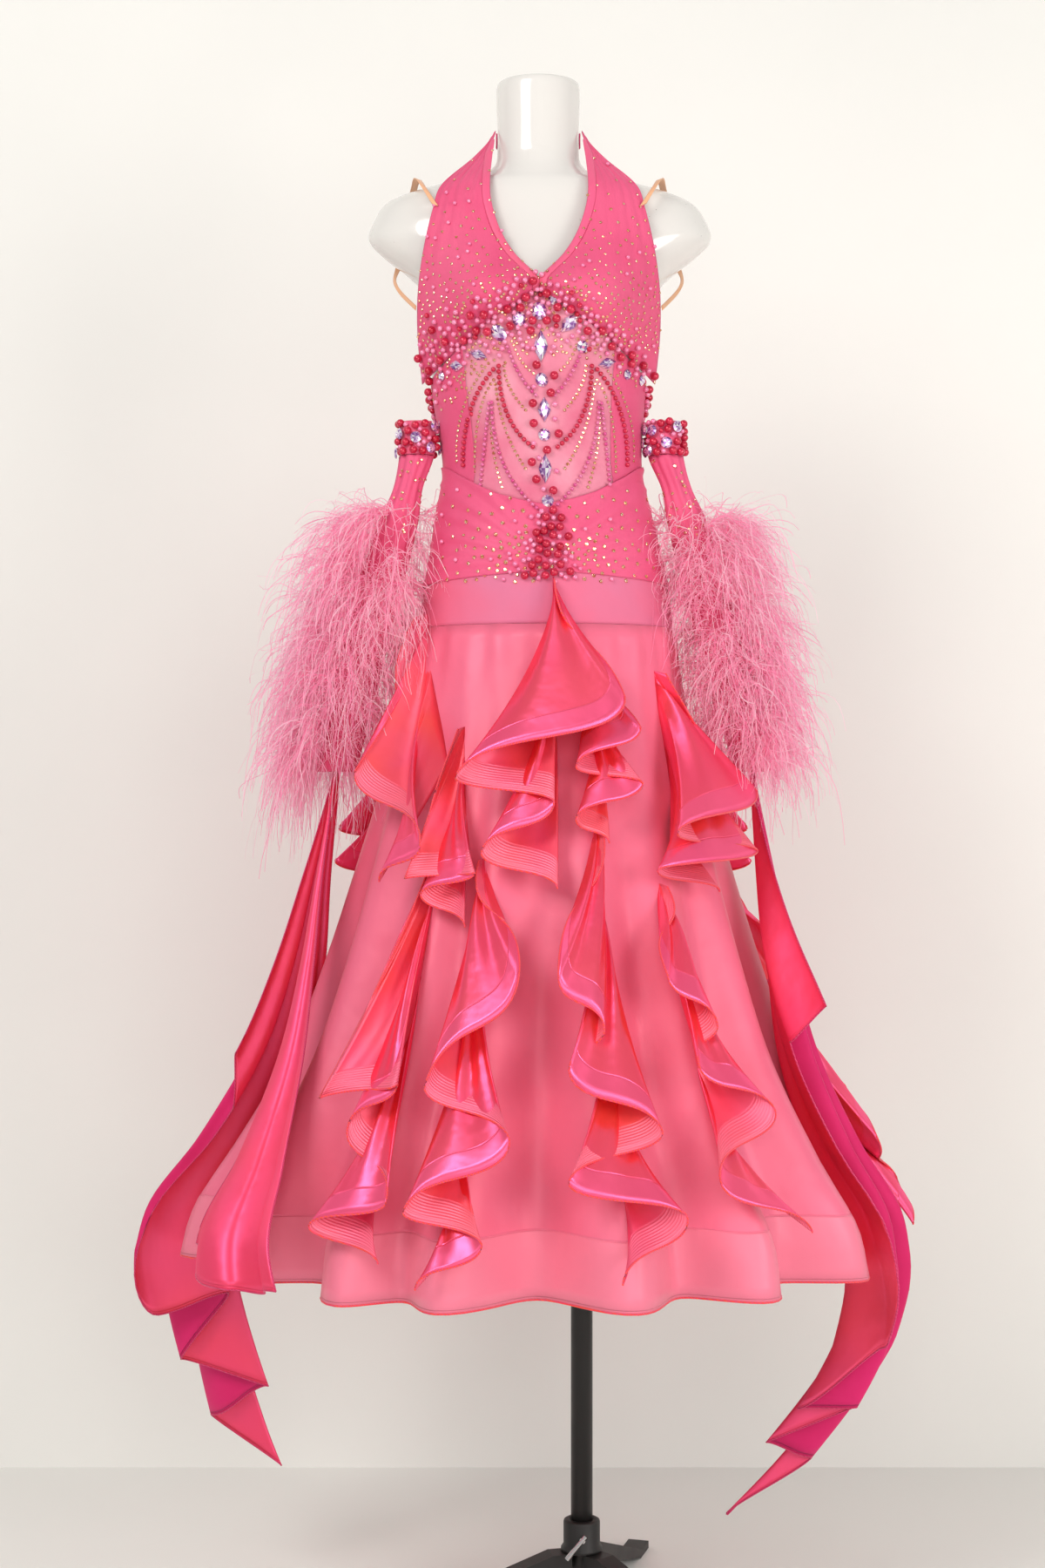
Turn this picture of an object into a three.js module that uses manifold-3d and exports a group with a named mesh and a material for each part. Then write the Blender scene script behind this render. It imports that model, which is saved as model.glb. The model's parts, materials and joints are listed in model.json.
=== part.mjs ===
// Ballroom dance gown: halter bodice, ruched hip wrap, flared skirt with spiral-cut flounces, and a pair of
// beaded feather sleeves with long floats. It is worn by a limbless dress form on a pole and a three-legged base.
// Millimetres, +Z up, +X to the wearer's left as seen from the front, -Y towards the front.
// Every cloth piece is a grid of points, given a wall. Skirt pieces use skirt places: an angle from the front
// (positive towards +X), a height, and a stand-off from the skirt's crests.
import * as THREE from "three";
import { mergeVertices } from "three/addons/utils/BufferGeometryUtils.js";
import Module from "manifold-3d";

const wasm = await Module();
wasm.setup();

// ---- driving sizes ----
const CLOTH = 1.6; // wall of a cloth panel
const SEAM = 0.4; // gap kept at a seam
const ROOT_GAP = 1.25; // stand-off of a flounce's seam from the skirt
const HEM_Z = 430; // skirt hem above the floor
const YOKE_Z = 1140; // seam of yoke and skirt
const FORM_BOTTOM = 1020;
const POLE_R = 12.5;
const HUB = { r: 21, bottom: 84, top: 120 };
const POLE_BOTTOM = 62;
const LEG = { reach: 285, root: 15, width: 26, deep: 20, foot: 42, thin: 9 };

// Outer face of the cloth on the figure, one row for each level: centre, half width, depth before and behind,
// and how deep the skirt's flutes fall in between their crests.
const FIGURE = [
  { z: 1520, cx: -51, rx: 133, front: 99, back: 82, flute: 0 },
  { z: 1443, cx: -50, rx: 127, front: 97, back: 82, flute: 0 },
  { z: 1400, cx: -49, rx: 122, front: 93, back: 80, flute: 0 },
  { z: 1360, cx: -47, rx: 117, front: 89, back: 78, flute: 0 },
  { z: 1317, cx: -45, rx: 115, front: 88, back: 78, flute: 0 },
  { z: 1273, cx: -44, rx: 124, front: 94, back: 88, flute: 0 },
  { z: 1230, cx: -42, rx: 132, front: 100, back: 98, flute: 0 },
  { z: 1190, cx: -41, rx: 140, front: 105, back: 106, flute: 0 },
  { z: 1140, cx: -41, rx: 146, front: 112, back: 116, flute: 0 },
  { z: 1060, cx: -42, rx: 160, front: 132, back: 136, flute: 4 },
  { z: 960, cx: -43, rx: 188, front: 165, back: 168, flute: 10 },
  { z: 860, cx: -44, rx: 218, front: 202, back: 204, flute: 18 },
  { z: 760, cx: -45, rx: 250, front: 236, back: 238, flute: 30 },
  { z: 660, cx: -47, rx: 288, front: 272, back: 276, flute: 44 },
  { z: 560, cx: -49, rx: 344, front: 316, back: 322, flute: 60 },
  { z: 490, cx: -50, rx: 392, front: 344, back: 352, flute: 74 },
  { z: 430, cx: -50, rx: 408, front: 356, back: 366, flute: 84 },
];
const CRESTS = [-172, -140, -112, -84, -60, -31, -15, 14, 36, 60, 88, 114, 140, 164]; // degrees, flutes' crests
const FULL_FLUTE = 30; // degrees between crests for a flute of full depth

// Dress form, one row for each level.
const FORM = [
  { z: 1766, cx: -50, rx: 46, front: 44, back: 44 },
  { z: 1758, cx: -50, rx: 48, front: 46, back: 46 },
  { z: 1688, cx: -50, rx: 47, front: 44, back: 46 },
  { z: 1668, cx: -50, rx: 53, front: 48, back: 50 },
  { z: 1654, cx: -50, rx: 80, front: 54, back: 58 },
  { z: 1645, cx: -49, rx: 128, front: 59, back: 64 },
  { z: 1630, cx: -49, rx: 172, front: 64, back: 68 },
  { z: 1608, cx: -48, rx: 190, front: 68, back: 73 },
  { z: 1586, cx: -48, rx: 196, front: 72, back: 76 },
  { z: 1566, cx: -48, rx: 178, front: 77, back: 78 },
  { z: 1546, cx: -48, rx: 152, front: 82, back: 80 },
  { z: 1524, cx: -48, rx: 133, front: 87, back: 80 },
  { z: 1480, cx: -49.5, rx: 126.6, front: 93, back: 79 },
  { z: 1443, cx: -50, rx: 123.4, front: 93.4, back: 79 },
  { z: 1400, cx: -49, rx: 119.4, front: 90.4, back: 77.4 },
  { z: 1360, cx: -47, rx: 114.4, front: 86.4, back: 75.4 },
  { z: 1317, cx: -45, rx: 112, front: 85, back: 75 },
  { z: 1273, cx: -44, rx: 121.4, front: 91.4, back: 85.4 },
  { z: 1230, cx: -42, rx: 129.4, front: 97.4, back: 95.4 },
  { z: 1190, cx: -41, rx: 137, front: 102, back: 103 },
  { z: 1130, cx: -41, rx: 141, front: 106, back: 110 },
  { z: 1060, cx: -41, rx: 142, front: 107, back: 112 },
  { z: 1020, cx: -41, rx: 138, front: 103, back: 107 },
];
const BUST = { x: 64, z: 1488, r: 44, form: 15, cloth: 17.4 }; // place, spread and fullness of each side

// Halter half, one row from the neck down: neckline point, side point (x from the centre line) and cup fullness.
const HALTER = [
  { inX: 49.2, inY: -9, inZ: 1712, outX: 49.6, outY: 5, outZ: 1712, cup: 0 },
  { inX: 50.5, inY: -25, inZ: 1692, outX: 61, outY: -14, outZ: 1692, cup: 0 },
  { inX: 53, inY: -40, inZ: 1670, outX: 80, outY: -30, outZ: 1670, cup: 2 },
  { inX: 55, inY: -68, inZ: 1637, outX: 110, outY: -54, outZ: 1637, cup: 4 },
  { inX: 53, inY: -78, inZ: 1611, outX: 119, outY: -66, outZ: 1608, cup: 5 },
  { inX: 43, inY: -88, inZ: 1578, outX: 127, outY: -68, outZ: 1574, cup: 8 },
  { inX: 27, inY: -97, inZ: 1550, outX: 133, outY: -62, outZ: 1540, cup: 22 },
  { inX: 4, inY: -104, inZ: 1526, outX: 137, outY: -46, outZ: 1505, cup: 42 },
  { inX: 0.6, inY: -105, inZ: 1518, outX: 137, outY: -30, outZ: 1466, cup: 48 },
  { inX: 0.6, inY: -103, inZ: 1511, outX: 133, outY: -10, outZ: 1420, cup: 36 },
];
const HALTER_CX = -49.5;
const BINDING = 9; // width of the neckline binding

// Levels of the bodice seams round the body, by angle from the front (alike on both sides).
const BACK_OPENING = [
  { deg: 84, z: 1419 },
  { deg: 100, z: 1398 },
  { deg: 122, z: 1364 },
  { deg: 148, z: 1334 },
  { deg: 180, z: 1322 },
];
const WRAP_TOP = [
  { deg: 0, z: 1273 },
  { deg: 22, z: 1284 },
  { deg: 45, z: 1303 },
  { deg: 70, z: 1321 },
  { deg: 95, z: 1325 },
  { deg: 130, z: 1312 },
  { deg: 180, z: 1298 },
];
const WRAP_HEM = [
  { deg: 0, z: 1199 },
  { deg: 45, z: 1192 },
  { deg: 90, z: 1187 },
  { deg: 180, z: 1187 },
];
const MIDRIFF_DEG = 42; // half angle of the sheer front panel
const GATHERS = { count: 9, proud: 2.2, z: 1206 }; // ruching that runs to the wrap's low middle

// Flounces. Each is sewn along a seam down the skirt (rows from top to bottom) and its free edge swings from side
// to side as it falls: one row for each turn. Upper turns stand out the most, so the folds lie under one another.
const FLOUNCES = {
  flounce_front_centre: {
    seam: [{ deg: 2.7, z: 1192 }, { deg: 4, z: 1001 }],
    edge: [
      { deg: 3, z: 1188, off: 13 }, { deg: 21.7, z: 1056, off: 66 }, { deg: -21.9, z: 969, off: 72 },
      { deg: 2, z: 944, off: 52 }, { deg: -15.5, z: 890, off: 44 }, { deg: 2.9, z: 853, off: 32 },
    ],
  },
  flounce_front_under: {
    seam: [{ deg: 14.6, z: 1104 }, { deg: 20, z: 963 }],
    edge: [
      { deg: 15, z: 1101, off: 13 }, { deg: 27.3, z: 1024, off: 52 }, { deg: 8, z: 981, off: 48 },
      { deg: 27, z: 964, off: 42 }, { deg: 8, z: 926, off: 34 }, { deg: 17.2, z: 900, off: 24 },
    ],
  },
  flounce_front_left: {
    seam: [{ deg: -70, z: 1156 }, { deg: -37, z: 985 }],
    edge: [
      { deg: -70.5, z: 1152, off: 13 }, { deg: -57.9, z: 977, off: 64 }, { deg: -30, z: 899, off: 60 },
      { deg: -43, z: 858, off: 42 },
    ],
  },
  flounce_front_left_under: {
    seam: [{ deg: -32, z: 1026 }, { deg: -24, z: 890 }],
    edge: [
      { deg: -32, z: 1023, off: 12 }, { deg: -33, z: 863, off: 56 }, { deg: -17, z: 870, off: 40 },
      { deg: -31, z: 846, off: 34 }, { deg: -19, z: 812, off: 26 },
    ],
  },
  flounce_front_right: {
    seam: [{ deg: 52.4, z: 1089 }, { deg: 49.6, z: 906 }],
    edge: [
      { deg: 52.6, z: 1086, off: 13 }, { deg: 72, z: 955, off: 60 }, { deg: 33, z: 910, off: 56 },
      { deg: 68, z: 888, off: 46 }, { deg: 28, z: 872, off: 40 }, { deg: 50, z: 846, off: 26 },
    ],
  },
  cascade_left: {
    seam: [{ deg: -33, z: 883 }, { deg: -29, z: 534 }],
    edge: [
      { deg: -33, z: 880, off: 12 }, { deg: -38, z: 639, off: 76 }, { deg: -26, z: 655, off: 50 },
      { deg: -34, z: 612, off: 44 }, { deg: -23, z: 541, off: 44 }, { deg: -35, z: 512, off: 34 },
      { deg: -23, z: 480, off: 22 },
    ],
  },
  cascade_centre_left: {
    lift: 0.3,
    seam: [{ deg: -18.5, z: 884 }, { deg: -14, z: 489 }],
    edge: [
      { deg: -18.5, z: 881, off: 12 }, { deg: -5, z: 770, off: 56 }, { deg: -19.5, z: 656, off: 70 },
      { deg: -5, z: 604, off: 58 }, { deg: -19.5, z: 535, off: 52 }, { deg: -8, z: 505, off: 38 },
      { deg: -17, z: 458, off: 26 },
    ],
  },
  cascade_centre_right: {
    lift: 0.45,
    seam: [{ deg: 16.5, z: 930 }, { deg: 13.5, z: 489 }],
    edge: [
      { deg: 16.5, z: 927, off: 12 }, { deg: 2.5, z: 765, off: 66 }, { deg: 11, z: 712, off: 56 },
      { deg: 4.5, z: 672, off: 50 }, { deg: 19, z: 612, off: 60 }, { deg: 4, z: 565, off: 50 },
      { deg: 21, z: 528, off: 44 }, { deg: 11, z: 465, off: 28 },
    ],
  },
  cascade_right: {
    seam: [{ deg: 34.5, z: 856 }, { deg: 36, z: 560 }],
    edge: [
      { deg: 34.5, z: 853, off: 12 }, { deg: 25, z: 765, off: 54 }, { deg: 35, z: 712, off: 50 },
      { deg: 29, z: 672, off: 50 }, { deg: 43, z: 622, off: 50 }, { deg: 28, z: 560, off: 44 },
      { deg: 42, z: 500, off: 34 },
    ],
  },
  cascade_far_right: {
    lift: 0.35,
    seam: [{ deg: 90, z: 740 }, { deg: 89, z: 520 }],
    edge: [
      { deg: 90, z: 737, off: 12 }, { deg: 99, z: 610, off: 48 }, { deg: 84, z: 560, off: 42 },
      { deg: 97, z: 505, off: 38 }, { deg: 86, z: 462, off: 26 },
    ],
  },
};

// Hidden-side flounces repeat the front forms, each turned round to its own place, some of them mirrored.
const BACK_FLOUNCES = [
  { name: "flounce_back_centre", like: "flounce_front_centre", turn: 177, mirror: false },
  { name: "flounce_back_right", like: "flounce_front_right", turn: 78, mirror: false },
  { name: "flounce_back_left", like: "flounce_front_right", turn: -78, mirror: true },
  { name: "cascade_back_left", like: "cascade_centre_right", turn: -126, mirror: true },
  { name: "cascade_back_centre", like: "cascade_centre_left", turn: -158, mirror: false },
  { name: "cascade_back_right", like: "cascade_centre_right", turn: 126.5, mirror: false },
  { name: "cascade_side_right", like: "cascade_right", turn: 78, mirror: false },
];

// Floats: long bias panels from the sleeve ends, folded to and fro beside the skirt. Each fold line runs from
// its angle at the top (topDeg) to its angle and height at the hem, and out is how far it stands off there.
const FLOAT_TOP = { z: 976.4, rows: 7 };
const FLOAT_CLEAR = [
  { z: 976.4, off: 57 },
  { z: 870, off: 42 },
  { z: 710, off: 22 },
  { z: 560, off: 14 },
  { z: 440, off: 18 },
  { z: 390, off: 15 },
  { z: 300, off: -14 },
  { z: 200, off: -60 },
  { z: 130, off: -98 },
];
const FLOATS = {
  float_left: [
    { topDeg: -83.5, deg: -82, z: 660, out: 44 },
    { topDeg: -84.65, deg: -84.5, z: 596, out: 12 },
    { topDeg: -85.8, deg: -91, z: 352, out: 64 },
    { topDeg: -86.95, deg: -94.5, z: 374, out: 10 },
    { topDeg: -88.1, deg: -98, z: 290, out: 110 },
    { topDeg: -89.25, deg: -101.5, z: 258, out: 14 },
    { topDeg: -90.4, deg: -105, z: 215, out: 84 },
    { topDeg: -91.55, deg: -108.5, z: 156, out: 8 },
  ],
  float_left_front: [
    { topDeg: -82, deg: -61, z: 470, out: 4 },
    { topDeg: -81, deg: -50, z: 440, out: 26 },
    { topDeg: -80, deg: -43, z: 438, out: 8 },
    { topDeg: -79, deg: -37.5, z: 446, out: 20 },
  ],
  float_right: [
    { topDeg: 79.6, deg: 63, z: 722, out: 62 },
    { topDeg: 80.5, deg: 65.5, z: 680, out: 14 },
    { topDeg: 81.4, deg: 68, z: 347, out: 44 },
    { topDeg: 82.3, deg: 70.5, z: 268, out: 10 },
    { topDeg: 83.2, deg: 73, z: 272, out: 80 },
    { topDeg: 84.1, deg: 75.5, z: 222, out: 12 },
    { topDeg: 85, deg: 78, z: 206, out: 60 },
    { topDeg: 85.9, deg: 80.5, z: 133, out: 8 },
  ],
};
// sink: how far a float swings in under the skirt's hem; follow: how far it lies down into the skirt's flutes
const FLOAT_WAYS = {
  float_left: { sink: 1, follow: 1 },
  float_left_front: { sink: 1, follow: 0 },
  float_right: { sink: 1.6, follow: 1 },
};
const FOLD_ROUND = 0.8; // share of a fold's depth that its rounded edges take

// Sleeves: axis points from the beaded band down to the float end, with the limp tube's half width and depth.
const SLEEVES = {
  left: [
    { x: -187.2, y: -14, z: 1376, wide: 20, deep: 17 },
    { x: -188.4, y: -14, z: 1338, wide: 20, deep: 17 },
    { x: -199, y: -13, z: 1300, wide: 17, deep: 15 },
    { x: -210, y: -12, z: 1262, wide: 23, deep: 17 },
    { x: -238, y: -10, z: 1160, wide: 26, deep: 20 },
    { x: -262, y: -10, z: 1060, wide: 25, deep: 20 },
    { x: -282, y: -10, z: 975, wide: 23, deep: 19 },
  ],
  right: [
    { x: 93.6, y: -14, z: 1376, wide: 20, deep: 17 },
    { x: 95.6, y: -14, z: 1338, wide: 20, deep: 17 },
    { x: 108, y: -13, z: 1300, wide: 17, deep: 15 },
    { x: 120, y: -12, z: 1262, wide: 23, deep: 17 },
    { x: 148, y: -10, z: 1160, wide: 26, deep: 20 },
    { x: 176, y: -10, z: 1060, wide: 25, deep: 20 },
    { x: 198, y: -10, z: 975, wide: 23, deep: 19 },
  ],
};
const BAND_Z = 1338; // lower end of the beaded armband
const FEATHER = { top: 1262, bottom: 1062, rings: 6, perRing: 8, fan: 190, proud: 3.2, thick: 4.4 };
const FEATHER_LENGTH = { left: 182, right: 126 };

const rad = THREE.MathUtils.degToRad;
const lerp = THREE.MathUtils.lerp;
const vec = (x, y, z) => new THREE.Vector3(x, y, z);

// ---- smooth reading of a table ----
// Value of one column at a key, on a cubic that passes through every row.
function columnAt(table, key, column, at) {
  const last = table.length - 1;
  const down = table[last][key] < table[0][key];
  const before = (a, b) => (down ? a > b : a < b);
  if (!before(table[0][key], at)) return table[0][column];
  if (!before(at, table[last][key])) return table[last][column];
  let i = 0;
  while (i < last - 1 && before(table[i + 1][key], at)) i++;
  const slope = (n) => {
    const a = table[Math.max(n - 1, 0)];
    const b = table[Math.min(n + 1, last)];
    return (b[column] - a[column]) / (b[key] - a[key]);
  };
  const span = table[i + 1][key] - table[i][key];
  const u = (at - table[i][key]) / span;
  const u2 = u * u;
  const u3 = u2 * u;
  return (
    (2 * u3 - 3 * u2 + 1) * table[i][column] +
    (u3 - 2 * u2 + u) * span * slope(i) +
    (3 * u2 - 2 * u3) * table[i + 1][column] +
    (u3 - u2) * span * slope(i + 1)
  );
}

// ---- places on the figure and the skirt ----
function onBody(table, deg, z, off) {
  const a = rad(deg);
  const depth = Math.cos(a) > 0 ? "front" : "back";
  const rx = columnAt(table, "z", "rx", z) + off;
  const ry = columnAt(table, "z", depth, z) + off;
  return vec(columnAt(table, "z", "cx", z) + rx * Math.sin(a), -ry * Math.cos(a), z);
}
const onFigure = (deg, z, off = 0) => onBody(FIGURE, deg, z, off);

// How far the bust stands out at a place on the front.
function bust(x, z, y, fullness) {
  const reach = (Math.abs(x - HALTER_CX) - BUST.x) ** 2 + (z - BUST.z) ** 2;
  return fullness * Math.exp(-reach / BUST.r ** 2) * THREE.MathUtils.clamp(-y / 60, 0, 1);
}

// Depth of the form's front at a place, none beyond its side.
function formFront(x, z) {
  const side = (x - columnAt(FORM, "z", "cx", z)) / columnAt(FORM, "z", "rx", z);
  if (Math.abs(side) >= 1) return 0;
  const depth = columnAt(FORM, "z", "front", z) * Math.sqrt(1 - side * side);
  return depth + bust(x, z, -depth, BUST.form);
}

// The two crests on either side of an angle, and how deep the skirt falls in between them at that angle.
function fluteFall(deg, z) {
  const turned = ((((deg - CRESTS[0]) % 360) + 360) % 360) + CRESTS[0];
  const next = CRESTS.findIndex((c) => c > turned);
  const high = next < 0 ? CRESTS[0] + 360 : CRESTS[next];
  const low = next < 0 ? CRESTS[CRESTS.length - 1] : CRESTS[next - 1];
  const wave = (1 - Math.cos((2 * Math.PI * (turned - low)) / (high - low))) / 2;
  return columnAt(FIGURE, "z", "flute", z) * wave * Math.min(1, (high - low) / FULL_FLUTE);
}

// ---- walls from grids of points ----
// grid[i][j] runs along i and across j. A closed grid's last row joins its first.
function gridNormals(grid, closed) {
  const rows = grid.length;
  const columns = grid[0].length;
  const row = (i) => grid[closed ? (i + rows) % rows : THREE.MathUtils.clamp(i, 0, rows - 1)];
  return grid.map((line, i) =>
    line.map((_, j) => {
      const along = row(i + 1)[j].clone().sub(row(i - 1)[j]);
      const across = line[Math.min(j + 1, columns - 1)].clone().sub(line[Math.max(j - 1, 0)]);
      return along.cross(across).normalize();
    }),
  );
}

// Closed solid whose outer face is the grid moved out, and whose inner face is the grid moved in.
function wall(grid, options = {}) {
  const { outside = CLOTH / 2, inside = CLOTH / 2, closed = false, proud = () => 0 } = options;
  const rows = grid.length;
  const columns = grid[0].length;
  const normals = options.normals ?? gridNormals(grid, closed);
  const points = [];
  for (const side of [1, -1]) {
    grid.forEach((line, i) =>
      line.forEach((p, j) => {
        const moved = side > 0 ? outside + proud(i, j) : -inside;
        points.push(...p.clone().addScaledVector(normals[i][j], moved).toArray());
      }),
    );
  }
  const at = (layer, i, j) => layer * rows * columns + (i % rows) * columns + j;
  const faces = [];
  const quad = (a, b, c, d) => faces.push(a, b, c, a, c, d);
  const spans = closed ? rows : rows - 1;
  for (let i = 0; i < spans; i++) {
    for (let j = 0; j < columns - 1; j++) {
      quad(at(0, i, j), at(0, i + 1, j), at(0, i + 1, j + 1), at(0, i, j + 1));
      quad(at(1, i, j), at(1, i, j + 1), at(1, i + 1, j + 1), at(1, i + 1, j));
    }
    quad(at(0, i + 1, 0), at(0, i, 0), at(1, i, 0), at(1, i + 1, 0));
    const j = columns - 1;
    quad(at(0, i, j), at(0, i + 1, j), at(1, i + 1, j), at(1, i, j));
  }
  if (!closed) {
    for (let j = 0; j < columns - 1; j++) {
      quad(at(0, 0, j), at(0, 0, j + 1), at(1, 0, j + 1), at(1, 0, j));
      const i = rows - 1;
      quad(at(0, i, j + 1), at(0, i, j), at(1, i, j), at(1, i, j + 1));
    }
  }
  const geometry = new THREE.BufferGeometry();
  geometry.setAttribute("position", new THREE.Float32BufferAttribute(points, 3));
  geometry.setIndex(faces);
  return geometry;
}

const steps = (count) => Array.from({ length: count + 1 }, (_, i) => i / count);

// ---- booleans ----
function toSolid(geometry) {
  const bare = geometry.clone();
  bare.deleteAttribute("normal");
  bare.deleteAttribute("uv");
  const merged = mergeVertices(bare, 1e-3);
  const mesh = new wasm.Mesh({
    numProp: 3,
    vertProperties: new Float32Array(merged.attributes.position.array),
    triVerts: new Uint32Array(merged.index.array),
  });
  return new wasm.Manifold(mesh);
}

function fromSolid(solid) {
  const mesh = solid.getMesh();
  const geometry = new THREE.BufferGeometry();
  geometry.setAttribute("position", new THREE.Float32BufferAttribute(mesh.vertProperties, 3));
  geometry.setIndex(new THREE.BufferAttribute(mesh.triVerts, 1));
  return geometry;
}

// ---- materials ----
const material = (color, roughness, metalness = 0) =>
  new THREE.MeshStandardMaterial({ color, roughness, metalness, side: THREE.DoubleSide });
const FINISH = {
  mesh: material(0xec5580, 0.8),
  sheer: material(0xf07a98, 0.8),
  crepe: material(0xf27088, 0.7),
  skirt: material(0xf06f80, 0.5),
  satin: material(0xef4a66, 0.35),
  float: material(0xe8457e, 0.45),
  feather: material(0xf283ae, 0.95),
  beads: material(0xd4234f, 0.25),
  elastic: material(0xe9b48c, 0.7),
  form: material(0xf3f1ec, 0.15),
  stand: material(0x24211f, 0.45, 0.4),
  chrome: material(0xc9c9c9, 0.15, 1),
};

const gown = new THREE.Group();
gown.name = "ballroom_gown_on_dress_form";
function add(name, geometry, finish) {
  const mesh = new THREE.Mesh(geometry, finish);
  mesh.name = name;
  gown.add(mesh);
  return mesh;
}

// ---- bodice ----
// Point of the halter half at a share of the way down its rows and across it, side -1 or 1.
function halterPoint(side, down, across) {
  const at = down * (HALTER.length - 1);
  const row = (column) => columnAt(HALTER.map((r, i) => ({ ...r, i })), "i", column, at);
  const x = lerp(row("inX"), row("outX"), across);
  const z = lerp(row("inZ"), row("outZ"), across);
  const y = lerp(row("inY"), row("outY"), across) - row("cup") * Math.sin(Math.PI * across);
  const px = HALTER_CX + side * x;
  return vec(px, Math.min(y, -formFront(px, z) - CLOTH * 2), z);
}

// The halter half starts where its neckline binding ends: both are strips of one surface.
function halter(side, name, bindingName) {
  const width = (down) => halterPoint(side, down, 1).distanceTo(halterPoint(side, down, 0));
  const share = (down) => BINDING / Math.max(width(down), BINDING * 2.4);
  const whole = steps(12).map((down) => {
    const edge = share(down) + (3 * SEAM) / width(down);
    const across = [0, share(down), ...steps(6).map((a) => lerp(edge, 1, a))];
    return across.map((a) => halterPoint(side, down, a));
  });
  const normals = gridNormals(whole, false);
  const strip = (from, to, first) => {
    const outward = (line) => (side > 0 ? line : line.reverse());
    const cut = (lines) => lines.slice(first).map((line) => outward(line.slice(from, to)));
    const facing = cut(normals).map((line) => line.map((n) => n.clone().multiplyScalar(side)));
    return wall(cut(whole), { normals: facing });
  };
  add(name, strip(2, 9, 0), FINISH.mesh);
  add(bindingName, strip(0, 2, 1), FINISH.crepe);
}

// Level of the bodice panels' upper edge: under the cups in front, the low opening behind.
const underbust = (x) => lerp(1511, 1420, THREE.MathUtils.clamp((Math.abs(x) - 0.6) / 132.4, 0, 1));
function panelTop(deg) {
  const turn = Math.abs(deg);
  if (turn >= 84) return columnAt(BACK_OPENING, "deg", "z", turn);
  const x = 131 * Math.sin(rad(turn));
  return underbust(x) - SEAM * 5;
}
const wrapTop = (deg) => columnAt(WRAP_TOP, "deg", "z", Math.abs(deg));
const wrapHem = (deg) => columnAt(WRAP_HEM, "deg", "z", Math.abs(deg));

// Panel of the body between two angles, from its top level down to its lower level.
function bodyPanel(name, from, to, columns, rows, top, low, finish, offset = -CLOTH / 2) {
  const closed = to - from >= 360;
  const turns = steps(columns).slice(0, closed ? columns : columns + 1);
  const grid = turns.map((s) => {
    const deg = lerp(from, to, s);
    return steps(rows).map((t) => {
      const p = onFigure(deg, lerp(low(deg), top(deg), t), offset);
      p.y -= bust(p.x, p.z, p.y, BUST.cloth);
      return p;
    });
  });
  return { name, grid, closed, finish };
}

function bodice() {
  halter(-1, "halter_left", "neck_binding_left");
  halter(1, "halter_right", "neck_binding_right");
  const under = (deg) => wrapTop(deg) + SEAM * 1.5;
  const gap = 0.45; // degrees left open at an upright seam
  const panels = [
    bodyPanel("midriff_front", -MIDRIFF_DEG + gap, MIDRIFF_DEG - gap, 10, 4, panelTop, under, FINISH.sheer),
    bodyPanel("side_panel_left", -180 + gap, -MIDRIFF_DEG, 14, 3, panelTop, under, FINISH.mesh),
    bodyPanel("side_panel_right", MIDRIFF_DEG, 180 - gap, 14, 3, panelTop, under, FINISH.mesh),
    bodyPanel("hip_yoke", -180, 180, 44, 1, (deg) => wrapHem(deg) - SEAM, () => YOKE_Z + SEAM, FINISH.crepe),
  ];
  for (const panel of panels) add(panel.name, wall(panel.grid, panel), panel.finish);
  hipWrap();
}

// Ruched wrap: raised gathers fan out from the low middle of the front and fade towards the back.
function hipWrap() {
  const columns = 44;
  const rows = 3;
  const panel = bodyPanel("hip_wrap", -180, 180, columns, rows, wrapTop, wrapHem, FINISH.mesh);
  const proud = (i, j) => {
    const p = panel.grid[i][j];
    const fan = Math.atan2(p.z - GATHERS.z, Math.abs(p.x - onFigure(0, p.z).x) + 8);
    const fade = THREE.MathUtils.clamp(-p.y / 60, 0, 1);
    return GATHERS.proud * fade * (0.5 + 0.5 * Math.cos(fan * GATHERS.count * 2));
  };
  add(panel.name, wall(panel.grid, { closed: true, proud }), panel.finish);
}

// Flat strap laid along points, its width held along a given direction at each point.
function strap(name, rows, width, thick, finish) {
  const grid = rows.map((r) => {
    const across = r.across.clone().normalize().multiplyScalar(width / 2);
    return [r.at.clone().sub(across), r.at.clone().add(across)];
  });
  add(name, wall(grid, { outside: thick / 2, inside: thick / 2 }), finish);
}

// Neck strap round the back of the neck, between the two halter tops.
function neckStrap() {
  const rows = steps(14).map((s) => {
    const deg = lerp(97.2, 262.8, s);
    const at = onBody(FORM, deg, 1703, 1.7);
    return { at, across: vec(0, 0, 1) };
  });
  strap("neck_strap", rows, 17, CLOTH, FINISH.mesh);
}

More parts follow.
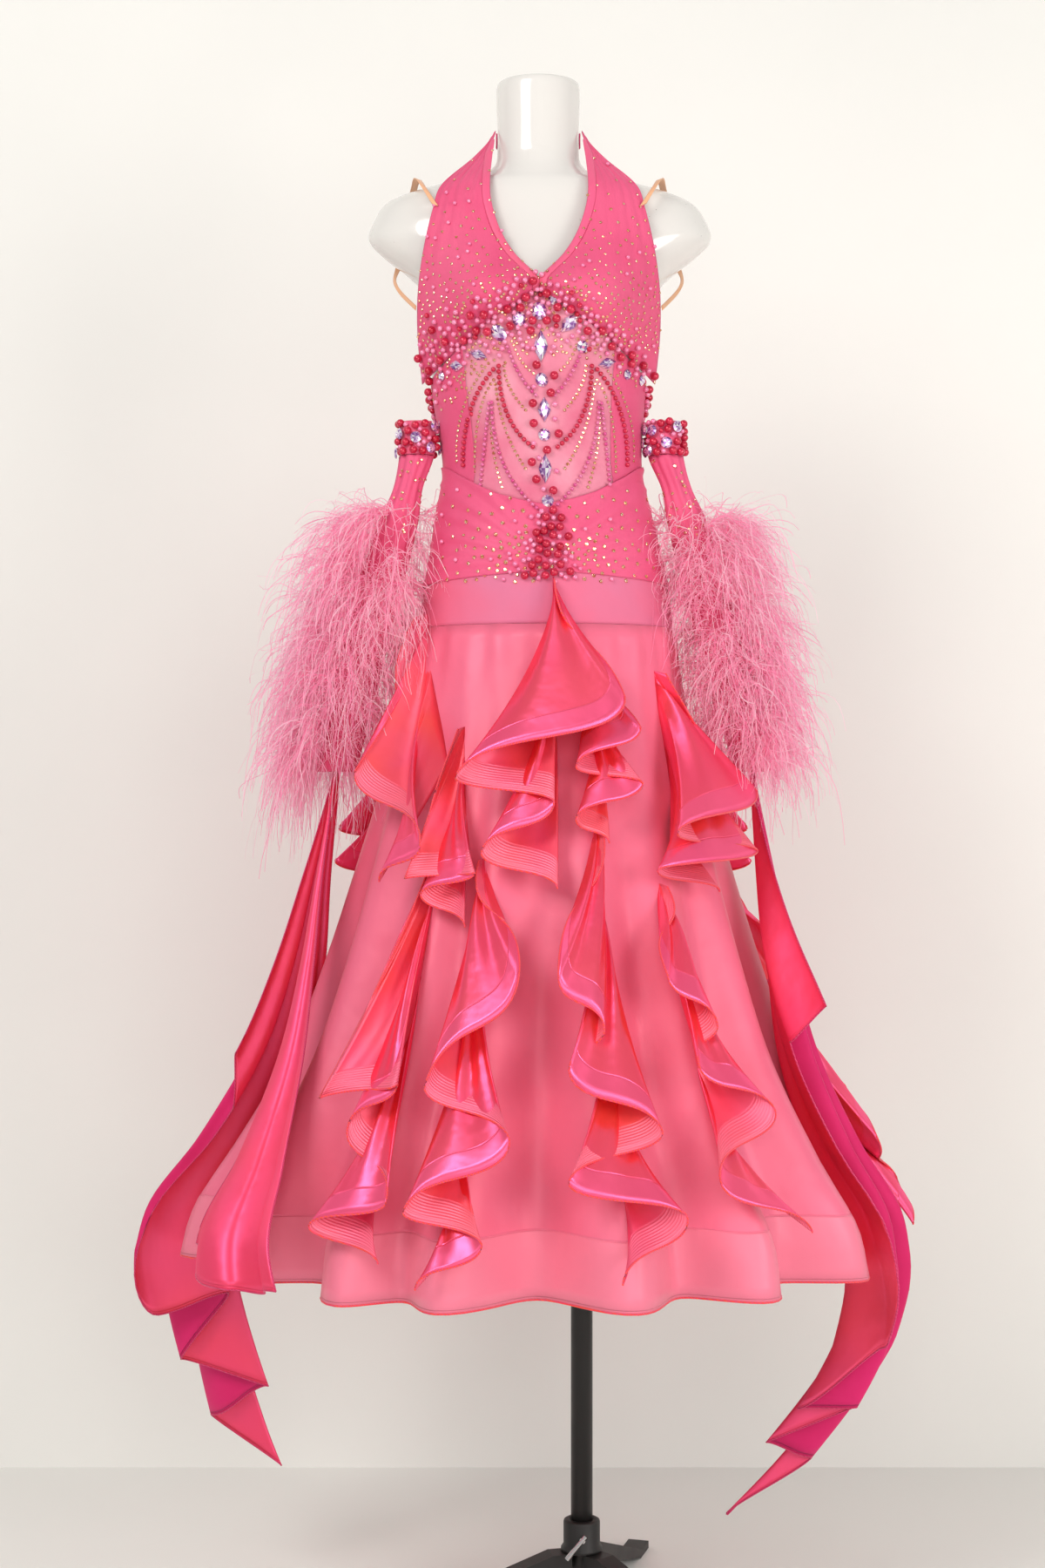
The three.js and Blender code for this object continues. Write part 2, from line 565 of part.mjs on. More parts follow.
// Clear elastic from the halter edge over the shoulder, down behind it and forward to the side of the bust.
const SHOULDER_STRAP = [
  { x: 116.5, y: -69.6, z: 1611, ax: 0.9, ay: 0.25, az: 0.35 },
  { x: 131, y: -58, z: 1636, ax: 0.85, ay: -0.1, az: 0.5 },
  { x: 138, y: -32, z: 1649, ax: 0.95, ay: 0, az: 0.3 },
  { x: 142, y: 0, z: 1650, ax: 1, ay: 0, az: -0.2 },
  { x: 146, y: 32, z: 1646, ax: 1, ay: 0, az: -0.1 },
  { x: 150, y: 58, z: 1626, ax: 1, ay: -0.3, az: 0.1 },
  { x: 156, y: 66, z: 1596, ax: 1, ay: -0.5, az: 0 },
  { x: 164, y: 58, z: 1568, ax: 0.85, ay: -0.5, az: -0.3 },
  { x: 167, y: 36, z: 1550, ax: 0.4, ay: -0.6, az: -0.6 },
  { x: 164, y: 14, z: 1537, ax: 0.15, ay: -0.6, az: -0.75 },
  { x: 156, y: -6, z: 1523, ax: 0.1, ay: -0.6, az: -0.8 },
  { x: 138.9, y: -47, z: 1500, ax: 0.1, ay: -0.6, az: -0.8 },
];
function shoulderStraps() {
  for (const [side, name] of [[-1, "elastic_left"], [1, "elastic_right"]]) {
    const rows = SHOULDER_STRAP.map((r) => ({
      at: vec(HALTER_CX + side * r.x, r.y, r.z),
      across: vec(side * r.ax, r.ay, r.az),
    }));
    strap(name, rows, 8, 1, FINISH.elastic);
  }
}

// ---- skirt ----
const SKIRT_LEVELS = [HEM_Z, 490, 560, 660, 760, 860, 960, 1060, YOKE_Z];
const PER_FLUTE = 4;
const SKIRT_TURNS = CRESTS.flatMap((crest, n) => {
  const next = n + 1 < CRESTS.length ? CRESTS[n + 1] : CRESTS[0] + 360;
  return steps(PER_FLUTE).slice(0, PER_FLUTE).map((s) => lerp(crest, next, s));
});
const SKIRT_GRID = SKIRT_TURNS.map((deg) =>
  SKIRT_LEVELS.map((z) => onFigure(deg, z, -fluteFall(deg, z) - CLOTH / 2)),
);

// Stand-off, from the crests, of a seam sewn to the skirt at a place.
function seamOff(deg, z) {
  if (z >= YOKE_Z) return ROOT_GAP;
  const turned = ((((deg - CRESTS[0]) % 360) + 360) % 360) + CRESTS[0];
  const after = SKIRT_TURNS.findIndex((d) => d > turned);
  const hi = after < 0 ? 0 : after;
  const lo = after < 0 ? SKIRT_TURNS.length - 1 : after - 1;
  const span = ((SKIRT_TURNS[hi] - SKIRT_TURNS[lo] + 360) % 360) || 360;
  const u = (turned - SKIRT_TURNS[lo]) / span;
  const up = THREE.MathUtils.clamp(SKIRT_LEVELS.findIndex((l) => l > z), 1, SKIRT_LEVELS.length - 1);
  const v = (z - SKIRT_LEVELS[up - 1]) / (SKIRT_LEVELS[up] - SKIRT_LEVELS[up - 1]);
  const below = SKIRT_GRID[lo][up - 1].clone().lerp(SKIRT_GRID[hi][up - 1], u);
  const above = SKIRT_GRID[lo][up].clone().lerp(SKIRT_GRID[hi][up], u);
  return CLOTH / 2 + ROOT_GAP - below.lerp(above, v).distanceTo(onFigure(deg, z));
}

// ---- flounces and floats ----
const TURN_STOPS = [0, 0.14, 0.5, 0.86]; // places along a sweep, close together where the cloth turns over
const FIRST_STOPS = [0, 0.25, 0.5, 0.86]; // the same for the first sweep, which starts flat
const FALL_EASE = 0.4; // how much the free edge slows its fall at each turn
const REACH_EASE = 0.85; // the same for its reach out from the skirt
const SEAM_POWER = 1.6; // over 1, so that the first turns fan out from the seam's top
const SWING_POWER = 1.3; // sideways swing grows faster than the reach, from seam to free edge
const REACH_POWER = 0.9;

// A flounce is a fin on its seam whose outer part swings from side to side.
function flounceGrid(spec, across) {
  const sweeps = spec.edge.length - 1;
  const stops = spec.edge.flatMap((_, k) => {
    if (k === sweeps) return [sweeps];
    return (k ? TURN_STOPS : FIRST_STOPS).map((t) => k + t);
  });
  return stops.map((at) => {
    const k = Math.min(Math.floor(at + 1e-9), sweeps - 1);
    const t = at - k;
    const swing = (1 - Math.cos(Math.PI * t)) / 2;
    const step = (ease) => t + (ease / (2 * Math.PI)) * Math.sin(2 * Math.PI * t);
    const from = spec.edge[k];
    const to = spec.edge[k + 1];
    const edge = {
      deg: lerp(from.deg, to.deg, swing),
      z: lerp(from.z, to.z, step(FALL_EASE)),
      off: lerp(from.off, to.off, step(REACH_EASE)),
    };
    const along = (at / sweeps) ** SEAM_POWER;
    const seam = { deg: lerp(spec.seam[0].deg, spec.seam[1].deg, along) };
    seam.z = lerp(spec.seam[0].z, spec.seam[1].z, along);
    seam.off = seamOff(seam.deg, seam.z) + (spec.lift ?? 0);
    return across.map((s) => {
      const deg = lerp(seam.deg, edge.deg, s ** SWING_POWER);
      return onFigure(deg, lerp(seam.z, edge.z, s), lerp(seam.off, edge.off, s ** REACH_POWER));
    });
  });
}

function floatGrid(name, perLine) {
  const lines = FLOATS[name];
  const way = FLOAT_WAYS[name];
  return steps((lines.length - 1) * perLine).map((share) => {
    const at = share * (lines.length - 1);
    const k = Math.min(Math.floor(at), lines.length - 2);
    const t = at - k;
    const turn = (1 - Math.cos(Math.PI * t)) / 2;
    const pressed = t + (FOLD_ROUND * Math.sin(2 * Math.PI * t)) / (2 * Math.PI);
    const between = (column, s) => lerp(lines[k][column], lines[k + 1][column], s);
    return steps(FLOAT_TOP.rows).map((up) => {
      const down = 1 - up;
      const deg = lerp(between("topDeg", pressed), between("deg", pressed), down);
      const z = lerp(FLOAT_TOP.z, between("z", turn), down);
      const clear = columnAt(FLOAT_CLEAR, "z", "off", z);
      const off = clear < 0 ? clear * way.sink : clear;
      return onFigure(deg, z, off - fluteFall(deg, z) * way.follow + between("out", turn) * down);
    });
  });
}

function turnedFlounce(back) {
  const sign = back.mirror ? -1 : 1;
  const moved = (row) => ({ ...row, deg: sign * row.deg + back.turn });
  const model = FLOUNCES[back.like];
  return { lift: model.lift, seam: model.seam.map(moved), edge: model.edge.map(moved) };
}

function drape() {
  add("skirt", wall(SKIRT_GRID, { closed: true }), FINISH.skirt);
  const across = [0, 0.5, 1];
  for (const [name, spec] of Object.entries(FLOUNCES)) {
    add(name, wall(flounceGrid(spec, across)), FINISH.satin);
  }
  for (const back of BACK_FLOUNCES) {
    add(back.name, wall(flounceGrid(turnedFlounce(back), across)), FINISH.satin);
  }
  for (const name of Object.keys(FLOATS)) {
    const grid = floatGrid(name, 4);
    add(name, wall(name === "float_right" ? grid.reverse() : grid), FINISH.float);
  }
}

// ---- sleeves ----
function sleeveRing(side, z, out, sides = 10) {
  const at = (column) => columnAt(SLEEVES[side], "z", column, z);
  return steps(sides).slice(0, sides).map((s) => {
    const a = 2 * Math.PI * s;
    return vec(at("x") + (at("wide") + out) * Math.sin(a), at("y") - (at("deep") + out) * Math.cos(a), z);
  });
}

// Rings stacked from the lowest up, turned into a grid that runs round the tube.
function tubeGrid(rings) {
  return rings[0].map((_, i) => rings.map((ring) => ring[i]));
}

function sleeves() {
  for (const side of ["left", "right"]) {
    const levels = [977, 1050, 1130, 1200, 1262, 1300, BAND_Z - 2 * SEAM];
    const tube = tubeGrid(levels.map((z) => sleeveRing(side, z, 0)));
    add(`sleeve_${side}`, wall(tube, { closed: true, outside: 0, inside: CLOTH }), FINISH.mesh);
    const bandLevels = [BAND_Z, 1351, 1363, 1376];
    const band = tubeGrid(bandLevels.map((z) => sleeveRing(side, z, 0, 14)));
    const bead = (i, j) => (j > 0 && j < bandLevels.length - 1 ? 3.4 + 1.8 * ((i + j) % 2) : 1);
    add(`armband_${side}`, wall(band, { closed: true, outside: 0, inside: CLOTH, proud: bead }), FINISH.beads);
  }
}

// ---- feathers ----
// Three-sided lock of ostrich fronds that leaves the cuff square, then arches over and hangs.
function lock(root, out, length, drop, thick) {
  const stations = [0, 0.5, 1];
  const radii = [0.8, 1, 0.15].map((r) => r * thick);
  const centre = (u) =>
    root.clone().addScaledVector(out, length * (u - 0.38 * u * u)).add(vec(0, 0, 6 * u - drop * u * u));
  const rings = stations.map((u, n) => {
    const along = n === 0 ? out.clone() : centre(Math.min(u + 0.05, 1)).sub(centre(u - 0.05)).normalize();
    const wide = vec(0, 0, 1).cross(along).normalize();
    const high = along.clone().cross(wide);
    return [0, 1, 2].map((k) => {
      const a = (2 * Math.PI * k) / 3;
      return centre(u).addScaledVector(wide, radii[n] * Math.cos(a)).addScaledVector(high, radii[n] * Math.sin(a));
    });
  });
  const faces = [0, 2, 1];
  for (let n = 0; n < stations.length - 1; n++) {
    for (let k = 0; k < 3; k++) {
      const next = (k + 1) % 3;
      faces.push(3 * n + k, 3 * n + next, 3 * n + 3 + next, 3 * n + k, 3 * n + 3 + next, 3 * n + 3 + k);
    }
  }
  const end = 3 * (stations.length - 1);
  faces.push(end, end + 1, end + 2);
  const geometry = new THREE.BufferGeometry();
  geometry.setAttribute("position", new THREE.Float32BufferAttribute(rings.flat().flatMap((p) => p.toArray()), 3));
  geometry.setIndex(faces);
  return geometry;
}

function featherCuff(side) {
  const sign = side === "left" ? -1 : 1;
  const levels = [FEATHER.bottom, 1120, 1190, FEATHER.top];
  const cuff = tubeGrid(levels.map((z) => sleeveRing(side, z, SEAM)));
  let solid = toSolid(wall(cuff, { closed: true, outside: FEATHER.proud, inside: 0 }));
  for (let ring = 0; ring < FEATHER.rings; ring++) {
    const down = ring / (FEATHER.rings - 1);
    const z = lerp(FEATHER.top - 10, FEATHER.bottom + 12, down);
    const x = columnAt(SLEEVES[side], "z", "x", z);
    const y = columnAt(SLEEVES[side], "z", "y", z);
    for (let k = 0; k < FEATHER.perRing; k++) {
      const stagger = ring % 2 ? 0.5 : 0;
      const turn = ((k + stagger + 0.25) / FEATHER.perRing - 0.5) * FEATHER.fan;
      const a = rad(sign * (90 + turn));
      const wide = columnAt(SLEEVES[side], "z", "wide", z) + FEATHER.proud - 2;
      const deep = columnAt(SLEEVES[side], "z", "deep", z) + FEATHER.proud - 2;
      const root = vec(x + wide * Math.sin(a), y - deep * Math.cos(a), z);
      const out = vec(Math.sin(a) / wide, -Math.cos(a) / deep, 0).normalize();
      const facing = 1 - 0.5 * Math.abs(turn) / (FEATHER.fan / 2);
      const uneven = 0.76 + (0.24 * ((k * 5 + ring * 3) % 4)) / 3;
      const length = FEATHER_LENGTH[side] * uneven * facing * lerp(1, 0.86, down);
      const drop = (46 + 70 * down) * (0.75 + 0.25 * ((k * 3 + ring) % 3));
      solid = solid.add(toSolid(lock(root, out, length, drop, FEATHER.thick)));
    }
  }
  add(`feather_cuff_${side}`, fromSolid(solid), FINISH.feather);
}

// ---- dress form and stand ----
function dressForm() {
  const columns = 26;
  const levels = [
    1020, 1060, 1130, 1200, 1273, 1317, 1360, 1400, 1443, 1470, 1500, 1530, 1566, 1586, 1608, 1630, 1645, 1654,
    1668, 1688, 1758, 1766,
  ];
  const rings = levels.map((z) =>
    steps(columns).slice(0, columns).map((s) => {
      const p = onBody(FORM, 360 * s, z, 0);
      p.y -= bust(p.x, z, p.y, BUST.form);
      return p;
    }),
  );
  const points = rings.flat().flatMap((p) => p.toArray());
  const faces = [];
  for (let n = 0; n < levels.length - 1; n++) {
    for (let i = 0; i < columns; i++) {
      const next = (i + 1) % columns;
      const a = n * columns + i;
      const b = n * columns + next;
      faces.push(a, b, b + columns, a, b + columns, a + columns);
    }
  }
  for (const [n, up] of [[0, false], [levels.length - 1, true]]) {
    const centre = points.length / 3;
    points.push(columnAt(FORM, "z", "cx", levels[n]), 0, levels[n]);
    for (let i = 0; i < columns; i++) {
      const a = n * columns + i;
      const b = n * columns + ((i + 1) % columns);
      faces.push(...(up ? [a, b, centre] : [b, a, centre]));
    }
  }
  const geometry = new THREE.BufferGeometry();
  geometry.setAttribute("position", new THREE.Float32BufferAttribute(points, 3));
  geometry.setIndex(faces);
  add("dress_form", geometry, FINISH.form);
}

const upright = (geometry) => geometry.rotateX(Math.PI / 2);
const outlineOf = (pairs) => [...pairs, pairs[0]].map(([r, z]) => new THREE.Vector2(r, z));

function stand() {
  const flange = { r: 38, bottom: FORM_BOTTOM - 10, top: FORM_BOTTOM - 0.4 };
  const bore = POLE_R + 0.5;
  const flangeRing = outlineOf([
    [bore, flange.bottom], [flange.r, flange.bottom], [flange.r, flange.top], [bore, flange.top],
  ]);
  add("pole_flange", upright(new THREE.LatheGeometry(flangeRing, 24)), FINISH.stand);
  const poleTop = FORM_BOTTOM - 0.4;
  const pole = new THREE.CylinderGeometry(POLE_R, POLE_R, poleTop - POLE_BOTTOM, 20);
  add("pole", upright(pole).translate(0, 0, (poleTop + POLE_BOTTOM) / 2), FINISH.stand);
  const hubBore = POLE_R + 0.6;
  const hubRing = outlineOf([
    [hubBore, HUB.bottom], [HUB.r + 3, HUB.bottom], [HUB.r, HUB.bottom + 8], [HUB.r, HUB.top - 2],
    [HUB.r - 2, HUB.top], [hubBore, HUB.top],
  ]);
  const screwY = -(HUB.r - 4);
  const screwHole = new THREE.CylinderGeometry(4, 4, 20, 12).translate(0, screwY, 104);
  const hub = toSolid(upright(new THREE.LatheGeometry(hubRing, 24))).subtract(toSolid(screwHole));
  add("stand_hub", fromSolid(hub), FINISH.stand);
  legs();
  clampScrew(screwY);
}

// Flat arm from the hub down to a foot that lies on the floor.
function legs() {
  const outline = new THREE.Shape();
  const top = HUB.bottom - 0.5;
  outline.moveTo(LEG.root, top - LEG.deep);
  outline.lineTo(LEG.reach - LEG.foot, 0);
  outline.lineTo(LEG.reach, 0);
  outline.lineTo(LEG.reach, LEG.thin);
  outline.lineTo(LEG.reach - LEG.foot + 6, LEG.thin);
  outline.lineTo(HUB.r + 16, top);
  outline.lineTo(LEG.root, top);
  outline.closePath();
  const headings = { left: -76, right: 44, back: 164 };
  for (const [name, deg] of Object.entries(headings)) {
    const arm = new THREE.ExtrudeGeometry(outline, { depth: LEG.width, bevelEnabled: false, curveSegments: 1 });
    arm.translate(0, 0, -LEG.width / 2).rotateX(Math.PI / 2).rotateZ(rad(deg - 90));
    add(`stand_leg_${name}`, arm, FINISH.stand);
  }
}

// Thumb screw with a bent rod handle, its shank in the front of the hub.
function clampScrew(screwY) {
  const shank = new THREE.CylinderGeometry(3.4, 3.4, 15, 12).translate(0, screwY - 7.7, 104);
  const handle = new THREE.CylinderGeometry(2.6, 2.6, 34, 10).rotateX(Math.PI / 2).rotateY(rad(40));
  handle.translate(-7, screwY - 14.5, 96);
  add("clamp_screw", fromSolid(toSolid(shank).add(toSolid(handle))), FINISH.chrome);
}

bodice();
neckStrap();
shoulderStraps();
drape();
sleeves();
featherCuff("left");
featherCuff("right");
dressForm();
stand();

// The origin is the floor point under the middle of the whole object.
const extent = new THREE.Box3().setFromObject(gown);
gown.position.set(-(extent.min.x + extent.max.x) / 2, -(extent.min.y + extent.max.y) / 2, 0);

export default gown;
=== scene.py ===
"""Ballroom dance gown on a limbless dress form: halter bodice with beadwork, ruched hip wrap, flared skirt
with spiral-cut satin flounces, and feathered sleeves that end in long floats.

Sizes are in millimetres in the gown's own frame: the stand's pole is the axis, the floor is z = 0, x runs to
the right as seen from the front and -y is the front. They turn into metres where a mesh is made.
"""

import json
import math

import bpy
import numpy as np
from bpy.props import FloatProperty, FloatVectorProperty, IntProperty, PointerProperty
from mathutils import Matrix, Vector
from mathutils.bvhtree import BVHTree

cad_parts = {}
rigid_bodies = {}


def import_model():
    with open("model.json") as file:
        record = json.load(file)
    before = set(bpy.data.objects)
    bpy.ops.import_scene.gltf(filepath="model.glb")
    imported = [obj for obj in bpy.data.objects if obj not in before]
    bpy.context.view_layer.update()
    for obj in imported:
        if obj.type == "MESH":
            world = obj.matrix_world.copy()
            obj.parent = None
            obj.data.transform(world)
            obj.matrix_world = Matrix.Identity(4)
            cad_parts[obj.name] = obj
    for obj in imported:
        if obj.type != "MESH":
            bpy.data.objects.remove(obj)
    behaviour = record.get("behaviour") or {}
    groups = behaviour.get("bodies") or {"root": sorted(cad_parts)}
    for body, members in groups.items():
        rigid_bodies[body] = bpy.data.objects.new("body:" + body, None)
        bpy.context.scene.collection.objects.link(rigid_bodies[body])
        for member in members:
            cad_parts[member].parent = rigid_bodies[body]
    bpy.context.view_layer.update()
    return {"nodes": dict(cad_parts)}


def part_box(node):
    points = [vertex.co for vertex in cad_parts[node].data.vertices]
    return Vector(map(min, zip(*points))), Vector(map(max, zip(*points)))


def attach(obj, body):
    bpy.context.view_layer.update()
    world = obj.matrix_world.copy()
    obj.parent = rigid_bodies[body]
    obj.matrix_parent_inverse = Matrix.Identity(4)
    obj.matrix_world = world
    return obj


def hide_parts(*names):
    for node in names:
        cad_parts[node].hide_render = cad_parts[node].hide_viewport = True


bl_info = {
    "name": "Ballroom gown",
    "version": (1, 0, 0),
    "blender": (4, 5, 0),
    "location": "3D View > Sidebar > Gown",
    "description": "Builds the cloth, beadwork, feathers and stand of a ballroom gown on its dress form",
    "category": "Add Mesh",
}

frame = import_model()
POLE_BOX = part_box("pole")
AXIS = np.array([(POLE_BOX[0][k] + POLE_BOX[1][k]) / 2 for k in (0, 1)] + [0.0])  # metres
MM = 0.001


def linear(code):
    """Linear colour of an sRGB hex value."""
    parts = [int(code[i:i + 2], 16) / 255 for i in (0, 2, 4)]
    return tuple(c / 12.92 if c <= 0.04045 else ((c + 0.055) / 1.055) ** 2.4 for c in parts) + (1.0,)


# ---------------------------------------------------------------- tables of the cut

def table(columns, *rows):
    """Columns by name as arrays, sorted along the first one."""
    names = columns.split()
    ordered = np.array(sorted(rows), dtype=float)
    made = {name: ordered[:, n] for n, name in enumerate(names)}
    made["key"] = ordered[:, 0]
    return made


def read(tab, column, at):
    """Smooth value of a column: a cubic that passes through every row."""
    key, value = tab["key"], tab[column]
    last = len(key) - 1
    at = np.clip(np.asarray(at, dtype=float), key[0], key[-1])
    i = np.clip(np.searchsorted(key, at, side="right") - 1, 0, last - 1)
    before = np.maximum(np.arange(last + 1) - 1, 0)
    after = np.minimum(np.arange(last + 1) + 1, last)
    slope = (value[after] - value[before]) / (key[after] - key[before])
    span = key[i + 1] - key[i]
    u = (at - key[i]) / span
    return ((2 * u**3 - 3 * u**2 + 1) * value[i] + (u**3 - 2 * u**2 + u) * span * slope[i]
            + (3 * u**2 - 2 * u**3) * value[i + 1] + (u**3 - u**2) * span * slope[i + 1])


def lerp(a, b, t):
    return a + (b - a) * t


# Outer face of the cloth on the figure by level, and the fall of the skirt's flutes between their crests.
FIGURE = table(
    "z cx rx front back flute",
    (1520, -51, 133, 99, 82, 0), (1443, -50, 127, 97, 82, 0), (1400, -49, 122, 93, 80, 0),
    (1360, -47, 117, 89, 78, 0), (1317, -45, 115, 88, 78, 0), (1273, -44, 124, 94, 88, 0),
    (1230, -42, 132, 100, 98, 0), (1190, -41, 140, 105, 106, 0), (1140, -41, 146, 112, 116, 0),
    (1060, -42, 160, 132, 136, 4), (960, -43, 188, 165, 168, 10), (860, -44, 218, 202, 204, 18),
    (760, -45, 250, 236, 238, 30), (660, -47, 288, 272, 276, 44), (560, -49, 344, 316, 322, 60),
    (490, -50, 392, 344, 352, 74), (430, -50, 408, 356, 366, 84),
)
CRESTS = np.array([-172, -140, -112, -84, -60, -31, -15, 14, 36, 60, 88, 114, 140, 164, 188.0])
FULL_FLUTE = 30
HEM_Z, YOKE_Z = 430, 1140
CLOTH = 1.6

# Dress form by level.
FORM = table(
    "z cx rx front back",
    (1766, -50, 46, 44, 44), (1758, -50, 48, 46, 46), (1688, -50, 47, 44, 46), (1668, -50, 53, 48, 50),
    (1654, -50, 80, 54, 58), (1645, -49, 128, 59, 64), (1630, -49, 172, 64, 68), (1608, -48, 190, 68, 73),
    (1586, -48, 196, 72, 76), (1566, -48, 178, 77, 78), (1546, -48, 152, 82, 80), (1524, -48, 133, 87, 80),
    (1480, -49.5, 126.6, 93, 79), (1443, -50, 123.4, 93.4, 79), (1400, -49, 119.4, 90.4, 77.4),
    (1360, -47, 114.4, 86.4, 75.4), (1317, -45, 112, 85, 75), (1273, -44, 121.4, 91.4, 85.4),
    (1230, -42, 129.4, 97.4, 95.4), (1190, -41, 137, 102, 103), (1130, -41, 141, 106, 110),
    (1060, -41, 142, 107, 112), (1020, -41, 138, 103, 107),
)
BUST_X, BUST_Z, BUST_R, BUST_FORM, BUST_CLOTH = 64, 1488, 44, 15, 17.4
BODY_X = -49.5

# Halter half from the neck down: neckline point, side point and cup fullness.
HALTER = table(
    "row inX inY inZ outX outY outZ cup",
    (0, 49.2, -9, 1712, 49.6, 5, 1712, 0), (1, 50.5, -25, 1692, 61, -14, 1692, 0),
    (2, 53, -40, 1670, 80, -30, 1670, 2), (3, 55, -68, 1637, 110, -54, 1637, 4),
    (4, 53, -78, 1611, 119, -66, 1608, 5), (5, 43, -88, 1578, 127, -68, 1574, 8),
    (6, 27, -97, 1550, 133, -62, 1540, 22), (7, 4, -104, 1526, 137, -46, 1505, 42),
    (8, 0.6, -105, 1518, 137, -30, 1466, 48), (9, 0.6, -103, 1511, 133, -10, 1420, 36),
)
BINDING = 9

BACK_OPENING = table("deg z", (84, 1419), (100, 1398), (122, 1364), (148, 1334), (180, 1322))
WRAP_TOP = table("deg z", (0, 1273), (22, 1284), (45, 1303), (70, 1321), (95, 1325), (130, 1312), (180, 1298))
WRAP_HEM = table("deg z", (0, 1199), (45, 1192), (90, 1187), (180, 1187))

# Elastic over the shoulder: its line from the halter edge to the side of the bust, and its width's direction.
SHOULDER = table(
    "row x y z ax ay az",
    (0, 116.5, -69.6, 1611, 0.9, 0.25, 0.35), (1, 131, -58, 1636, 0.85, -0.1, 0.5),
    (2, 138, -32, 1649, 0.95, 0, 0.3), (3, 142, 0, 1650, 1, 0, -0.2), (4, 146, 32, 1646, 1, 0, -0.1),
    (5, 150, 58, 1626, 1, -0.3, 0.1), (6, 156, 66, 1596, 1, -0.5, 0), (7, 164, 58, 1568, 0.85, -0.5, -0.3),
    (8, 167, 36, 1550, 0.4, -0.6, -0.6), (9, 164, 14, 1537, 0.15, -0.6, -0.75),
    (10, 156, -6, 1523, 0.1, -0.6, -0.8), (11, 138.9, -47, 1500, 0.1, -0.6, -0.8),
)

# Flounces: seam ends (angle, height), then the free edge's turns (angle, height, stand-off from the skirt).
FLOUNCES = {
    "flounce_front_centre": (
        (2.7, 1192, 4, 1001),
        ((3, 1188, 13), (21.7, 1056, 66), (-21.9, 969, 72), (2, 944, 52), (-15.5, 890, 44), (2.9, 853, 32))),
    "flounce_front_under": (
        (14.6, 1104, 20, 963),
        ((15, 1101, 13), (27.3, 1024, 52), (8, 981, 48), (27, 964, 42), (8, 926, 34), (17.2, 900, 24))),
    "flounce_front_left": (
        (-70, 1156, -37, 985), ((-70.5, 1152, 13), (-57.9, 977, 64), (-30, 899, 60), (-43, 858, 42))),
    "flounce_front_left_under": (
        (-32, 1026, -24, 890),
        ((-32, 1023, 12), (-33, 863, 56), (-17, 870, 40), (-31, 846, 34), (-19, 812, 26))),
    "flounce_front_right": (
        (52.4, 1089, 49.6, 906),
        ((52.6, 1086, 13), (72, 955, 60), (33, 910, 56), (68, 888, 46), (28, 872, 40), (50, 846, 26))),
    "cascade_left": (
        (-33, 883, -29, 534),
        ((-33, 880, 12), (-38, 639, 76), (-26, 655, 50), (-34, 612, 44), (-23, 541, 44), (-35, 512, 34),
         (-23, 480, 22))),
    "cascade_centre_left": (
        (-18.5, 884, -14, 489),
        ((-18.5, 881, 12), (-5, 770, 56), (-19.5, 656, 70), (-5, 604, 58), (-19.5, 535, 52), (-8, 505, 38),
         (-17, 458, 26))),
    "cascade_centre_right": (
        (16.5, 930, 13.5, 489),
        ((16.5, 927, 12), (2.5, 765, 66), (11, 712, 56), (4.5, 672, 50), (19, 612, 60), (4, 565, 50),
         (21, 528, 44), (11, 465, 28))),
    "cascade_right": (
        (34.5, 856, 36, 560),
        ((34.5, 853, 12), (25, 765, 54), (35, 712, 50), (29, 672, 50), (43, 622, 50), (28, 560, 44),
         (42, 500, 34))),
    "cascade_far_right": (
        (90, 740, 89, 520), ((90, 737, 12), (99, 610, 48), (84, 560, 42), (97, 505, 38), (86, 462, 26))),
}
# Flounces of the sides and back: the one that each is like, how far it is turned round, and -1 if mirrored.
BACK_FLOUNCES = {
    "flounce_back_centre": ("flounce_front_centre", 177, 1),
    "flounce_back_right": ("flounce_front_right", 78, 1),
    "flounce_back_left": ("flounce_front_right", -78, -1),
    "cascade_back_left": ("cascade_centre_right", -126, -1),
    "cascade_back_centre": ("cascade_centre_left", -158, 1),
    "cascade_back_right": ("cascade_centre_right", 126.5, 1),
    "cascade_side_right": ("cascade_right", 78, 1),
}

# Floats: each fold line by number, its angle at the sleeve end, then its angle, height and stand-off at the
# hem.
FLOAT_TOP = 976.4
FLOAT_CLEAR = table(
    "z off",
    (976.4, 57), (870, 42), (710, 22), (560, 14), (440, 18), (390, 15), (300, -14), (200, -60), (130, -98),
)
FLOATS = {
    "float_left": table(
        "k topDeg deg z out",
        (0, -83.5, -82, 660, 44), (1, -84.65, -84.5, 596, 12), (2, -85.8, -91, 352, 64),
        (3, -86.95, -94.5, 374, 10), (4, -88.1, -98, 290, 110), (5, -89.25, -101.5, 258, 14),
        (6, -90.4, -105, 215, 84), (7, -91.55, -108.5, 156, 8)),
    "float_left_front": table(
        "k topDeg deg z out",
        (0, -82, -61, 470, 4), (1, -81, -50, 440, 26), (2, -80, -43, 438, 8), (3, -79, -37.5, 446, 20)),
    "float_right": table(
        "k topDeg deg z out",
        (0, 79.6, 63, 722, 62), (1, 80.5, 65.5, 680, 14), (2, 81.4, 68, 347, 44), (3, 82.3, 70.5, 268, 10),
        (4, 83.2, 73, 272, 80), (5, 84.1, 75.5, 222, 12), (6, 85, 78, 206, 60), (7, 85.9, 80.5, 133, 8)),
}
# How far a float swings in under the skirt's hem, and how far it lies down into the skirt's flutes.
FLOAT_WAYS = {"float_left": (1, 1), "float_left_front": (1, 0), "float_right": (1.6, 1)}
FOLD_ROUND = 0.8  # share of a fold's depth that its rounded edges take

